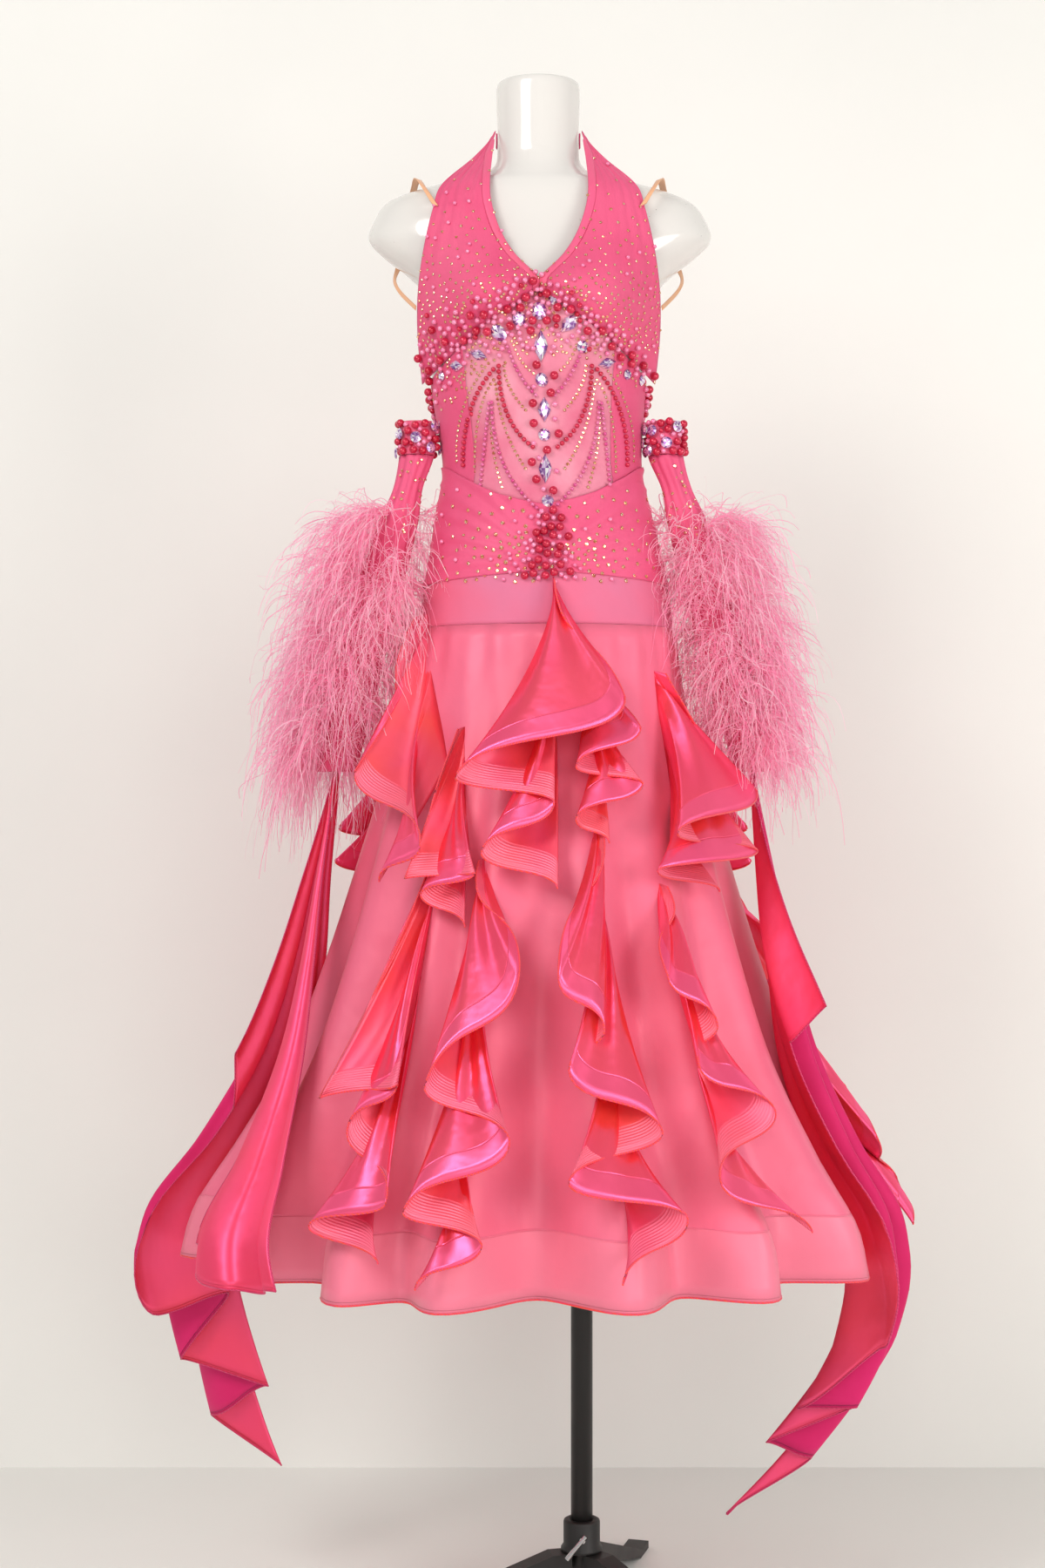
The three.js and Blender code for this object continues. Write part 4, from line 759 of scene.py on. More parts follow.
class GownColours(bpy.types.PropertyGroup):
    """Colours of the gown's cloths, beads, feathers and stand."""
    satin: colour("Satin", "Body colour of the flounce satin", "F02C30")
    satin_warm: colour("Satin, warm", "Warmer drift of the flounce satin", "F8442C")
    # Besides the gloss, satin_shine tints the face's hem band as painted sheen, and reverse_shine tints the
    # reverse's hem band and stitch crests as painted sheen and painted highlight.
    satin_shine: colour("Satin shine", "Colour of the satin's gloss", "FF6CA8")
    reverse: colour("Satin reverse", "Reverse of the flounces", "E63A68")
    reverse_shine: colour("Reverse shine", "Gloss of the reverse", "FF86A4")
    float_face: colour("Float face", "Satin face of the floats", "EA2A4C")
    float_back: colour("Float reverse", "Crepe reverse of the floats", "D82C6C")
    float_shade: colour("Float shade", "Darker drift of the floats' reverse", "C42458")
    skirt: colour("Skirt", "Coral crepe of the skirt", "EC7492")
    skirt_shade: colour("Skirt shade", "Darker drift of the skirt", "E86684")
    skirt_shine: colour("Skirt shine", "Sheen of the skirt", "FFB0BC")
    skirt_facing: colour("Skirt facing", "Band above the hem", "EC8098")
    skirt_inside: colour("Skirt inside", "Inside of the skirt", "D03060")
    yoke: colour("Yoke", "Hip yoke crepe", "D47496")
    mesh: colour("Mesh", "Stretch mesh of the bodice", "E65C86")
    mesh_shade: colour("Mesh shade", "Darker drift of the mesh", "DC4A78")
    mesh_sheer: colour("Sheer mesh", "Sheer panel of the midriff, paler over the white form", "FCB0C4")
    mesh_shine: colour("Mesh shine", "Sheen of the mesh", "FFA8C8")
    pearl_red: colour("Red pearl", "Large pearls", "B40830")
    pearl_glow: colour("Red pearl glow", "Lustre of the large pearls", "F0406A")
    pearl_pink: colour("Pink pearl", "Small pearls", "F078A8")
    pearl_pale: colour("Pale lustre", "Lustre of the pink pearls", "FFC0DC")
    pearl_magenta: colour("Magenta bead", "Small beads of the swags", "D02880")
    stone: colour("Stone", "Small cut stones", "B85030")
    # Painted reflections of the small stones: a warm painted flash and the brightest painted glints.
    stone_warm: colour("Stone flash", "Warm flash of the small stones", "F4B878")
    stone_pale: colour("Stone light", "Brightest facets", "FFE6DA")
    # Large stones: their facets are painted dark, lilac or clear white as painted reflections.
    jewel: colour("Jewel", "Large cut stones", "E2C4EC")
    jewel_deep: colour("Jewel depth", "Dark facets of the large stones", "84489A")
    jewel_pale: colour("Jewel light", "Clear facets of the large stones", "FFFFFF")
    feather: colour("Feather", "Ostrich barbs", "FFA2CA")
    feather_tip: colour("Feather tip", "Paler barbs", "FFEAF3")
    elastic: colour("Elastic", "Nude shoulder elastic", "E8AE84")
    form: colour("Form", "Dress form lacquer", "E0DEDA")
    stand: colour("Stand", "Stand black", "1A1817")
    chrome: colour("Chrome", "Clamp screw", "D8D8D8")
    backdrop: colour("Backdrop", "Studio wall and floor", "F2F3EF")


def length(label, note, metres):
    return FloatProperty(name=label, description=note, default=metres, unit="LENGTH")


class GownSizes(bpy.types.PropertyGroup):
    """Sizes that a user would change."""
    cloth: length("Cloth", "Thickness of the cloth", 0.0012)
    roll: length("Hem roll", "Radius of the rolled hems", 0.0011)
    sheer: FloatProperty(name="Sheer", description="Share of the form seen through the midriff", default=0.22,
                         min=0, max=1, subtype="FACTOR")
    large_pearl: length("Large pearl", "Diameter", 0.0099)
    small_pearl: length("Small pearl", "Diameter", 0.0061)
    bead: length("Bead", "Diameter of the swag beads", 0.0048)
    stone: length("Stone", "Diameter of the small stones", 0.0037)
    barbs: IntProperty(name="Barbs", description="Feather barbs on each sleeve", default=7000, min=100)
    feather: length("Feather", "Length of the longest barbs", 0.165)


def sizes():
    return bpy.context.scene.gown_sizes


# ---------------------------------------------------------------- bodice

def halter_point(side, down, across):
    """Places on one halter half: down its rows and across it, with the gathers drawn in at the neck."""
    at = down * 9
    row = {c: read(HALTER, c, at) for c in ("inX", "inY", "inZ", "outX", "outY", "outZ", "cup")}
    x = lerp(row["inX"], row["outX"], across)
    z = lerp(row["inZ"], row["outZ"], across)
    y = lerp(row["inY"], row["outY"], across) - row["cup"] * np.sin(np.pi * across)
    px = BODY_X + side * x
    return np.stack([px, np.minimum(y, -form_front(px, z) - CLOTH * 2), z], axis=-1)


def halter_gathers(down, across):
    """Soft ridges that run down from the neck strap and fade over the cup, deeper at the outer edge."""
    fade = np.clip(1 - down / 0.78, 0, 1) ** 0.7 * np.clip(down / 0.06, 0, 1)
    ridges = 0.55 * np.sin(across * 41 + 3 * np.sin(down * 5)) + 0.45 * np.sin(across * 23 + 1.3 + 2 * down)
    return fade * (0.3 + 0.7 * across) * ridges * 1.5


def halter_lifted(side, down, across, lift):
    """A halter half's grid, moved out along its own outward direction."""
    grid = halter_point(side, down, across)
    n = normals_of(grid)
    n = n * np.sign(-n[..., 1:2] + 1e-9)
    grid = grid + n * lift[..., None]
    return grid if side > 0 else grid[:, ::-1]


def binding_share(side, down):
    """Share of the halter's width that its neck binding takes, row by row."""
    inner, outer = (halter_point(side, down, np.full_like(down, end)) for end in (0.0, 1.0))
    return BINDING / np.maximum(np.linalg.norm(outer - inner, axis=-1), BINDING * 2.4)


def halter_panel(side, rows, cols):
    down, share = np.meshgrid(steps(rows), steps(cols), indexing="ij")
    across = lerp(binding_share(side, down), 1, share)
    return halter_lifted(side, down, across, halter_gathers(down, across))


def neck_binding(side, rows, cols):
    """The bound neckline, which starts below the neck strap and is softly rounded."""
    down, share = np.meshgrid(lerp(1 / 12, 1, steps(rows)), steps(cols), indexing="ij")
    across = binding_share(side, down) * share
    return halter_lifted(side, down, across, 0.5 + 0.8 * np.sin(np.pi * share))


def panel_top(deg):
    turn = np.abs(deg)
    x = 131 * np.sin(np.radians(turn))
    under = lerp(1511, 1420, np.clip((np.abs(x) - 0.6) / 132.4, 0, 1)) + 1
    return np.where(turn >= 84, read(BACK_OPENING, "z", turn), under)


WRAP_LAP, YOKE_LAP = 3, 2  # how far the panels and the yoke run under the wrap
WRAP_EDGE_LIFT = 1.3  # both of its edges lie over their neighbours


def wrap_top(deg):
    return read(WRAP_TOP, "z", np.abs(deg))


def wrap_hem(deg):
    return read(WRAP_HEM, "z", np.abs(deg))


def panel_foot(deg):
    return wrap_top(deg) - WRAP_LAP


def yoke_top(deg):
    return wrap_hem(deg) + YOKE_LAP


def yoke_foot(deg):
    return np.full_like(deg, YOKE_Z + 0.4)


def body_grid(start, end, columns, rows, top, low, closed=False):
    """Cloth on the figure between two angles, from its low level up to its top level."""
    share = steps(columns)[:columns] if closed else steps(columns)
    deg, t = np.meshgrid(lerp(start, end, share), steps(rows), indexing="ij")
    grid = on_body(FIGURE, deg, lerp(low(deg), top(deg), t), -CLOTH / 2)
    grid[..., 1] -= bust(grid[..., 0], grid[..., 2], grid[..., 1], BUST_CLOTH)
    return grid


def wrap_gathers(grid):
    """Ruching: long uneven folds fan out from the low middle of the front, and lie nearly level behind."""
    dx = np.abs(grid[..., 0] - BODY_X - 8)
    front = np.clip(-grid[..., 1] / 50, 0, 1)
    fan = np.degrees(np.arctan2(grid[..., 2] - 1206, dx + 10))
    near = np.clip(dx / 45, 0.15, 1)
    folds = np.zeros_like(dx)
    for turn, wide, height in ((2, 3.2, 1.5), (9, 2.4, 1.1), (17, 3.4, 2.0), (27, 3.0, 1.5), (36, 4.0, 2.2),
                               (47, 3.2, 1.6), (57, 4.4, 1.9), (70, 4.0, 1.2)):
        folds += height * np.exp(-((fan - turn) / wide) ** 2)
    level = 1.5 * np.maximum(0, np.sin(grid[..., 2] * 0.28 + 2.2 * np.sin(grid[..., 0] * 0.021))) ** 3
    return 1.5 * front * near * folds + (1 - front) * level


class GOWN_OT_bodice(bpy.types.Operator):
    """Halter halves, bindings, midriff, side panels, hip wrap and hip yoke"""
    bl_idname = "gown.bodice"
    bl_label = "Bodice"

    def execute(self, context):
        thick = sizes().cloth / MM
        for side, name in ((-1, "left"), (1, "right")):
            lay_cloth(f"halter_{name}_mesh", halter_panel(side, 90, 54), ["mesh"], "stretch_mesh",
                      f"halter_{name}", thick, edge_last=side > 0)
            lay_cloth(f"neck_binding_{name}_tape", neck_binding(side, 90, 8), ["binding"], "crepe",
                      f"neck_binding_{name}", thick)
        for name, start, end, columns, look, slot in (
            ("midriff_front", -41.85, 41.85, 60, "mesh_sheer", "sheer_mesh"),
            ("side_panel_left", -179.55, -42, 90, "mesh", "stretch_mesh"),
            ("side_panel_right", 42, 179.55, 90, "mesh", "stretch_mesh"),
        ):
            grid = body_grid(start, end, columns, 26, panel_top, panel_foot)
            lay_cloth(f"{name}_mesh", grid, [look], slot, name, 0.8)
        rows = 48
        grid = body_grid(-180, 180, 220, rows, wrap_top, wrap_hem, closed=True)
        edges = np.exp(-(steps(rows) * 16) ** 2) + np.exp(-(steps(rows)[::-1] * 16) ** 2)
        lift = wrap_gathers(grid) + WRAP_EDGE_LIFT * edges
        grid = grid + normals_of(grid, True) * lift[..., None]
        lay_cloth("hip_wrap_ruched", grid, ["mesh"], "stretch_mesh", "hip_wrap",
                  thick, closed=True)
        grid = body_grid(-180, 180, 160, 14, yoke_top, yoke_foot, closed=True)
        lay_cloth("hip_yoke_band", grid, ["yoke"], "crepe", "hip_yoke",
                  thick, closed=True, edge_last=False)
        return {"FINISHED"}


STRAP_Z, STRAP_WIDE = 1703, 17


class GOWN_OT_straps(bpy.types.Operator):
    """Neck strap and the two nude elastics over the shoulders"""
    bl_idname = "gown.straps"
    bl_label = "Straps"

    def execute(self, context):
        deg, t = np.meshgrid(lerp(97.2, 262.8, steps(60)), steps(6), indexing="ij")
        grid = on_body(FORM, deg, STRAP_Z + STRAP_WIDE * (t - 0.5), 1.7)
        lay_cloth("neck_strap_tape", grid, ["mesh"], "stretch_mesh", "neck_strap",
                  1.4)
        for side, name in ((-1, "left"), (1, "right")):
            at = lerp(0, 11, steps(90))
            x, y, z, ax, ay, az = (read(SHOULDER, column, at) for column in ("x", "y", "z", "ax", "ay", "az"))
            line = np.stack([BODY_X + side * x, y, z], axis=-1)
            wide = unit(np.stack([side * ax, ay, az], axis=-1))
            grid = line[:, None] + wide[:, None] * np.linspace(-4, 4, 5)[None, :, None]
            lay_cloth(f"elastic_{name}_tape", grid, ["elastic"], "elastic", f"elastic_{name}",
                      1.0)
        return {"FINISHED"}


# ---------------------------------------------------------------- skirt, flounces and floats

def skirt_creases(deg, z):
    """Soft draws under the yoke seam and above the hem facing."""
    top = np.exp(-((YOKE_Z - z) / 70) ** 2) * np.clip((YOKE_Z - z) / 12, 0, 1)
    draw = 2.0 * np.sin(np.radians(deg) * 17 + 1.1) + 1.3 * np.sin(np.radians(deg) * 29)
    low = np.exp(-((z - HEM_Z - 70) / 55) ** 2)
    ripple = 1.6 * np.sin(np.radians(deg) * 37 + z * 0.03) + 1.0 * np.sin(np.radians(deg) * 61 + z * 0.05)
    return top * draw + low * ripple


class GOWN_OT_skirt(bpy.types.Operator):
    """Fluted coral skirt with its faced and rolled hem"""
    bl_idname = "gown.skirt"
    bl_label = "Skirt"

    def execute(self, context):
        per_flute = 16
        turns = np.concatenate([lerp(a, b, steps(per_flute)[:-1]) for a, b in zip(CRESTS[:-1], CRESTS[1:])])
        levels = HEM_Z + (YOKE_Z - HEM_Z) * steps(46)
        deg, z = np.meshgrid(turns, levels, indexing="ij")
        grid = on_body(FIGURE, deg, z, -flute_fall(deg, z) - CLOTH / 2 + skirt_creases(deg, z))
        lay_cloth("skirt_panels", grid, ["skirt_face", "skirt_inside"], "underskirt_satin", "skirt",
                  sizes().cloth / MM, closed=True, edge_last=False)
        roll, faces = cord_along(grid[:, 0], sizes().roll / MM, closed=True)
        settle(mesh_piece("skirt_hem_roll", roll, faces, [finish("hem_roll")]), "underskirt_satin")
        return {"FINISHED"}


SEAM_POWER, SWING_POWER, REACH_POWER = 2.0, 1.1, 0.9  # a flounce fans out from the top of its seam
FRONT_ROUND = 0.38  # rounding of the sweeps that show
RETURN_SINK, RETURN_TUCK = 1.3, 0.3  # how the sweeps between them tuck in behind
RIGHTWARD = ("cascade_centre_right", "cascade_right")  # their face shows on the sweeps that run to the right


def flounce_grid(seam, edge, way, per_sweep, across):
    """A fin on its seam whose free edge swings from side to side as it falls. Sweeps that run the given way
    lie in front and are rounded; the others fold back behind them."""
    sweeps = len(edge) - 1
    at = np.linspace(0, sweeps, sweeps * per_sweep + 1)
    k = np.minimum(at.astype(int), sweeps - 1)
    t = at - k
    turns = np.array(edge, dtype=float)
    swing = (1 - np.cos(np.pi * t)) / 2
    ease = np.sin(2 * np.pi * t) / (2 * np.pi)
    middle = np.sin(np.pi * t) ** 2
    ahead = (turns[k + 1, 0] - turns[k, 0]) * way > 0
    edge_deg = lerp(turns[k, 0], turns[k + 1, 0], swing)
    edge_z = lerp(turns[k, 1], turns[k + 1, 1], t + 0.4 * ease)
    edge_off = lerp(turns[k, 2], turns[k + 1, 2], t + 0.85 * ease)
    edge_off = edge_off * np.where(ahead, 1, 1 - RETURN_TUCK * middle)
    power = REACH_POWER + middle * np.where(ahead, -FRONT_ROUND, RETURN_SINK)
    along = (at / sweeps) ** SEAM_POWER
    seam_deg = lerp(seam[0], seam[2], along)
    seam_z = lerp(seam[1], seam[3], along)
    seam_off = np.where(seam_z >= YOKE_Z, 0, -flute_fall(seam_deg, seam_z)) - 0.5
    s = steps(across)[None, :]
    deg = lerp(seam_deg[:, None], edge_deg[:, None], s**SWING_POWER)
    z = lerp(seam_z[:, None], edge_z[:, None], s)
    off = lerp(seam_off[:, None], edge_off[:, None], s ** power[:, None])
    draws = 4.2 * np.sin(2 * np.pi * (1.7 * t + 0.37 * k)) + 2.4 * np.sin(2 * np.pi * (3.1 * t + 0.21 * k))
    soft_folds = draws * middle * np.where(ahead, 1, 0.4)
    off += soft_folds[:, None] * np.sin(np.pi * s**0.8)
    return on_body(FIGURE, deg, z, off)


class GOWN_OT_flounces(bpy.types.Operator):
    """Spiral-cut satin flounces with stiffened, rolled hems"""
    bl_idname = "gown.flounces"
    bl_label = "Flounces"

    def execute(self, context):
        specs = {name: cut + (1 if name in RIGHTWARD else -1,) for name, cut in FLOUNCES.items()}
        for name, (like, turn, sign) in BACK_FLOUNCES.items():
            seam, edge, way = specs[like]
            moved = (sign * seam[0] + turn, seam[1], sign * seam[2] + turn, seam[3])
            specs[name] = (moved, tuple((sign * d + turn, z, off) for d, z, off in edge), way * sign)
        rolls = []
        for name, (seam, edge, way) in specs.items():
            grid = flounce_grid(seam, edge, way, 22, 20)
            looks = ["flounce_satin", "flounce_reverse"][::-way]
            lay_cloth(f"{name}_satin", grid, looks, "flounce_satin", name,
                      sizes().cloth / MM)
            rolls.append(cord_along(grid[:, -1], sizes().roll / MM))
        points, faces = joined(rolls)
        settle(mesh_piece("flounce_hem_rolls", points, faces, [finish("hem_roll")]), "flounce_satin")
        return {"FINISHED"}


def float_grid(name, per_line, rows):
    """A float folded to and fro: its fold lines run from the sleeve end to the hem's corners."""
    lines = FLOATS[name]
    sink, follow = FLOAT_WAYS[name]
    count = len(lines["key"]) - 1
    at = np.linspace(0, count, count * per_line + 1)
    k = np.minimum(at.astype(int), count - 1)
    t = at - k
    pressed = t + FOLD_ROUND * np.sin(2 * np.pi * t) / (2 * np.pi)
    swing = (1 - np.cos(np.pi * t)) / 2

    def between(column, share):
        return lerp(lines[column][k], lines[column][k + 1], share)[:, None]

    down = 1 - steps(rows)[None, :]
    deg = lerp(between("topDeg", pressed), between("deg", pressed), down)
    z = lerp(FLOAT_TOP, between("z", swing), down)
    clear = read(FLOAT_CLEAR, "off", z)
    off = np.where(clear < 0, clear * sink, clear) - flute_fall(deg, z) * follow
    return on_body(FIGURE, deg, z, off + between("out", swing) * down)


class GOWN_OT_floats(bpy.types.Operator):
    """Long floats from the sleeve ends"""
    bl_idname = "gown.floats"
    bl_label = "Floats"

    def execute(self, context):
        rolls = []
        for name in FLOATS:
            grid = float_grid(name, 20, 60)
            grid = grid[::-1] if name == "float_right" else grid
            lay_cloth(f"{name}_cloth", grid, ["float_face", "float_back"], "float_satin", name,
                      sizes().cloth / MM, edge_last=False)
            rolls += [cord_along(line, sizes().roll / MM * 0.9) for line in (grid[0], grid[-1], grid[:, 0])]
        points, faces = joined(rolls)
        settle(mesh_piece("float_hem_rolls", points, faces, [finish("float_roll")]), "float_satin")
        return {"FINISHED"}


# ---------------------------------------------------------------- sleeves

def sleeve_point(side, deg, z, out=0.0):
    tab = SLEEVES[side]
    a = np.radians(deg)
    return np.stack([read(tab, "x", z) + (read(tab, "wide", z) + out) * np.sin(a),
                     read(tab, "y", z) - (read(tab, "deep", z) + out) * np.cos(a), z + 0 * a], axis=-1)


class GOWN_OT_sleeves(bpy.types.Operator):
    """Limp mesh sleeves and the bands that carry the armlets' beads"""
    bl_idname = "gown.sleeves"
    bl_label = "Sleeves"

    def execute(self, context):
        for side in ("left", "right"):
            deg, z = np.meshgrid(steps(72)[:-1] * 360, lerp(977, BAND_Z - 0.8, steps(80)), indexing="ij")
            turn = np.radians(deg)
            pleats = 0.8 * np.sin(turn * 11 + z * 0.01) + 0.6 * np.sin(turn * 5 + z * 0.03)
            grid = sleeve_point(side, deg, z, -0.9 + pleats)
            lay_cloth(f"sleeve_{side}_mesh", grid, ["mesh"], "stretch_mesh", f"sleeve_{side}",
                      0.8, closed=True)
            deg, z = np.meshgrid(steps(72)[:-1] * 360, lerp(BAND_Z, BAND_TOP, steps(12)), indexing="ij")
            grid = sleeve_point(side, deg, z, -0.8)
            lay_cloth(f"armband_{side}_band", grid, ["binding"], "beadwork", f"armband_{side}",
                      1.4, closed=True)
        return {"FINISHED"}


# ---------------------------------------------------------------- beadwork

VIEW_EYE = np.array([-68.0, -2750.0, 963.0])  # eye of the front view
VIEW_MIDDLE = (600, 900)  # its middle, in a frame of 1200 by 1800 that is 1 mm a step on the pole's plane
BEADED = ("halter_", "neck_binding_", "midriff_", "side_panel_", "hip_wrap_r", "hip_yoke_b")


def bead_base():
    """The bodice cloth that beads lie on, as one tree for finding places."""
    points, faces, base = [], [], 0
    for piece in bpy.context.scene.objects:
        if piece.type == "MESH" and piece.name.startswith(BEADED) and not piece.hide_render:
            mesh = piece.data
            co = np.empty(len(mesh.vertices) * 3)
            mesh.vertices.foreach_get("co", co)
            points += [Vector(p) for p in (co.reshape(-1, 3) - AXIS) / MM]
            faces += [tuple(v + base for v in p.vertices) for p in mesh.polygons]
            base += len(mesh.vertices)
    return BVHTree.FromPolygons(points, faces)


def in_view(place):
    """Where a place shows in the front view."""
    near = -VIEW_EYE[1] / (place[1] - VIEW_EYE[1])
    return VIEW_MIDDLE[0] + (place[0] - VIEW_EYE[0]) * near, VIEW_MIDDLE[1] - (place[2] - VIEW_EYE[2]) * near


def sighted(tree, across, down):
    """Place and outward direction on the bodice behind a point of the front view, or None."""
    way = Vector(((across - VIEW_MIDDLE[0]) / 2750, 1.0, -(down - VIEW_MIDDLE[1]) / 2750)).normalized()
    hit, normal, _, _ = tree.ray_cast(Vector(VIEW_EYE), way)
    if hit is None:
        return None
    return np.array(hit), np.array(normal if normal.dot(way) < 0 else -normal)


def ball(rings=7, sides=10):
    """Unit sphere of triangles."""
    points = [(0, 0, 1.0)]
    for r in range(1, rings):
        fall = math.pi * r / rings
        wide = math.sin(fall)
        turns = [2 * math.pi * k / sides for k in range(sides)]
        points += [(wide * math.cos(turn), wide * math.sin(turn), math.cos(fall)) for turn in turns]
    points.append((0, 0, -1.0))
    faces = []
    for k in range(sides):
        n = (k + 1) % sides
        faces.append((0, 1 + k, 1 + n))
        for r in range(rings - 2):
            a, b = 1 + r * sides, 1 + (r + 1) * sides
            faces += [(a + k, b + k, b + n), (a + k, b + n, a + n)]
        last = 1 + (rings - 2) * sides
        faces.append((last + n, last + k, len(points) - 1))
    return np.array(points), np.array(faces)


def cut_stone(sides=8, pointed=False):
    """Flat-backed cut stone of unit radius: a girdle, a crown of facets and a table."""
    turn = 2 * np.pi * np.arange(sides) / sides
    ring = np.stack([np.cos(turn), np.sin(turn)], axis=-1)
    if pointed:  # a navette narrows to a point at each end
        ring[:, 0] *= (1 - np.abs(ring[:, 1]) ** 1.6) * 0.55 + 0.03
    girdle, crown, table_share = 0.12, 0.42, 0.6
    rows = [np.c_[ring * share, np.full(sides, high)]
            for share, high in ((1.0, 0.0), (1.0, girdle), (table_share, crown))]
    points = np.concatenate(rows + [np.array([[0, 0, crown]])])
    faces = []
    for k in range(sides):
        n = (k + 1) % sides
        for r in range(2):
            a, b = r * sides, (r + 1) * sides
            faces += [(a + k, a + n, b + n), (a + k, b + n, b + k)]
        faces.append((2 * sides + k, 2 * sides + n, 3 * sides))
    return points, np.array(faces)


def set_out(template, places, outward, scale, spin):
    """Copies of a template, each sized and turned to its outward direction, as one mesh."""
    shape, faces = template
    places, n = np.asarray(places, dtype=float), np.asarray(outward, dtype=float)
    n = unit(n)
    up = unit(np.array([[0, 0, 1.0]]) - n * n[:, 2:])
    right = np.cross(up, n)
    c, s = np.cos(spin)[:, None], np.sin(spin)[:, None]
    right, up = right * c + up * s, up * c - right * s
    local = shape[None] * scale[:, None]
    points = (places[:, None] + local[..., :1] * right[:, None] + local[..., 1:2] * up[:, None]
              + local[..., 2:] * n[:, None])
    all_faces = faces[None] + (np.arange(len(places)) * len(shape))[:, None, None]
    return points.reshape(-1, 3), all_faces.reshape(-1, 3)


# Swags of beads on the midriff, left half, mirrored for the right: bead, then start, middle and end in the
# view.
SWAGS = (
    ("stone", (561, 417), (531, 472), (525, 534)), ("red", (567, 424), (540, 474), (533, 538)),
    ("stone", (567, 436), (550, 478), (545, 544)), ("magenta", (562, 463), (557, 510), (552, 560)),
    ("stone", (564, 480), (567, 520), (578, 563)), ("magenta", (565, 462), (580, 536), (623, 588)),
    ("stone", (569, 441), (581, 494), (605, 540)), ("red", (573, 420), (584, 478), (616, 516)),
    ("stone", (579, 420), (586, 446), (605, 472)), ("magenta", (583, 398), (598, 432), (617, 455)),
    ("stone", (590, 396), (600, 416), (615, 430)),
)
MIRROR_AT = 626
# Large stones down the front and along the cups: kind, place in the view, half height and half width in mm,
# tilt.
JEWELS = (
    ("round", 636, 344, 6, 6, 0), ("round", 619, 357, 10, 9, 0.3), ("navette", 621, 397, 18, 14, 0),
    ("round", 622, 436, 8, 7, 0.4), ("navette", 625, 470, 14, 13, 0), ("round", 625, 499, 7, 7, 0.2),
    ("navette", 626, 538, 17, 13, 0), ("round", 629, 575, 7, 7, 0.4), ("round", 596, 366, 8, 8, 0.2),
    ("round", 573, 382, 10, 8, 0.7), ("navette", 549, 407, 12, 11, 1.2), ("navette", 524, 420, 11, 11, 1.4),
    ("navette", 654, 371, 14, 14, -0.8), ("round", 669, 398, 7, 7, 0.5), ("navette", 697, 417, 12, 11, -1.3),
    ("round", 720, 430, 6, 6, 0.5), ("round", 736, 437, 6, 6, 0.1), ("round", 508, 432, 5, 5, 0.1),
)
# Pearls between the large stones down the middle: kind and place in the view.
COLUMN = (
    ("red", 609, 380), ("red", 616, 419), ("red", 636, 431), ("red", 632, 451), ("red", 612, 463),
    ("red", 613, 486), ("red", 641, 498), ("red", 628, 517), ("red", 611, 531), ("red", 616, 551),
    ("red", 635, 564), ("red", 635, 586),
    ("pink", 636, 398), ("pink", 613, 444), ("pink", 637, 481), ("pink", 619, 526), ("pink", 624, 562),
    ("pink", 639, 541), ("pink", 622, 588), ("pink", 637, 464), ("pink", 612, 400), ("pink", 613, 509),
)
BAND_MIDDLE, BAND_LEFT, BAND_RIGHT = (626, 352), (484, 432), (750, 438)


def band_place(rng, spread):
    """A place on the beaded band under the cups: x, y and how far it lies from the band's middle line."""
    end = BAND_LEFT if rng.random() < 0.5 else BAND_RIGHT
    t = rng.random()
    x = lerp(BAND_MIDDLE[0], end[0], t)
    y = lerp(BAND_MIDDLE[1], end[1], t) - 10 * math.sin(math.pi * t)
    away = rng.normal(0, spread)
    return x + 0.4 * away, y + away - 3


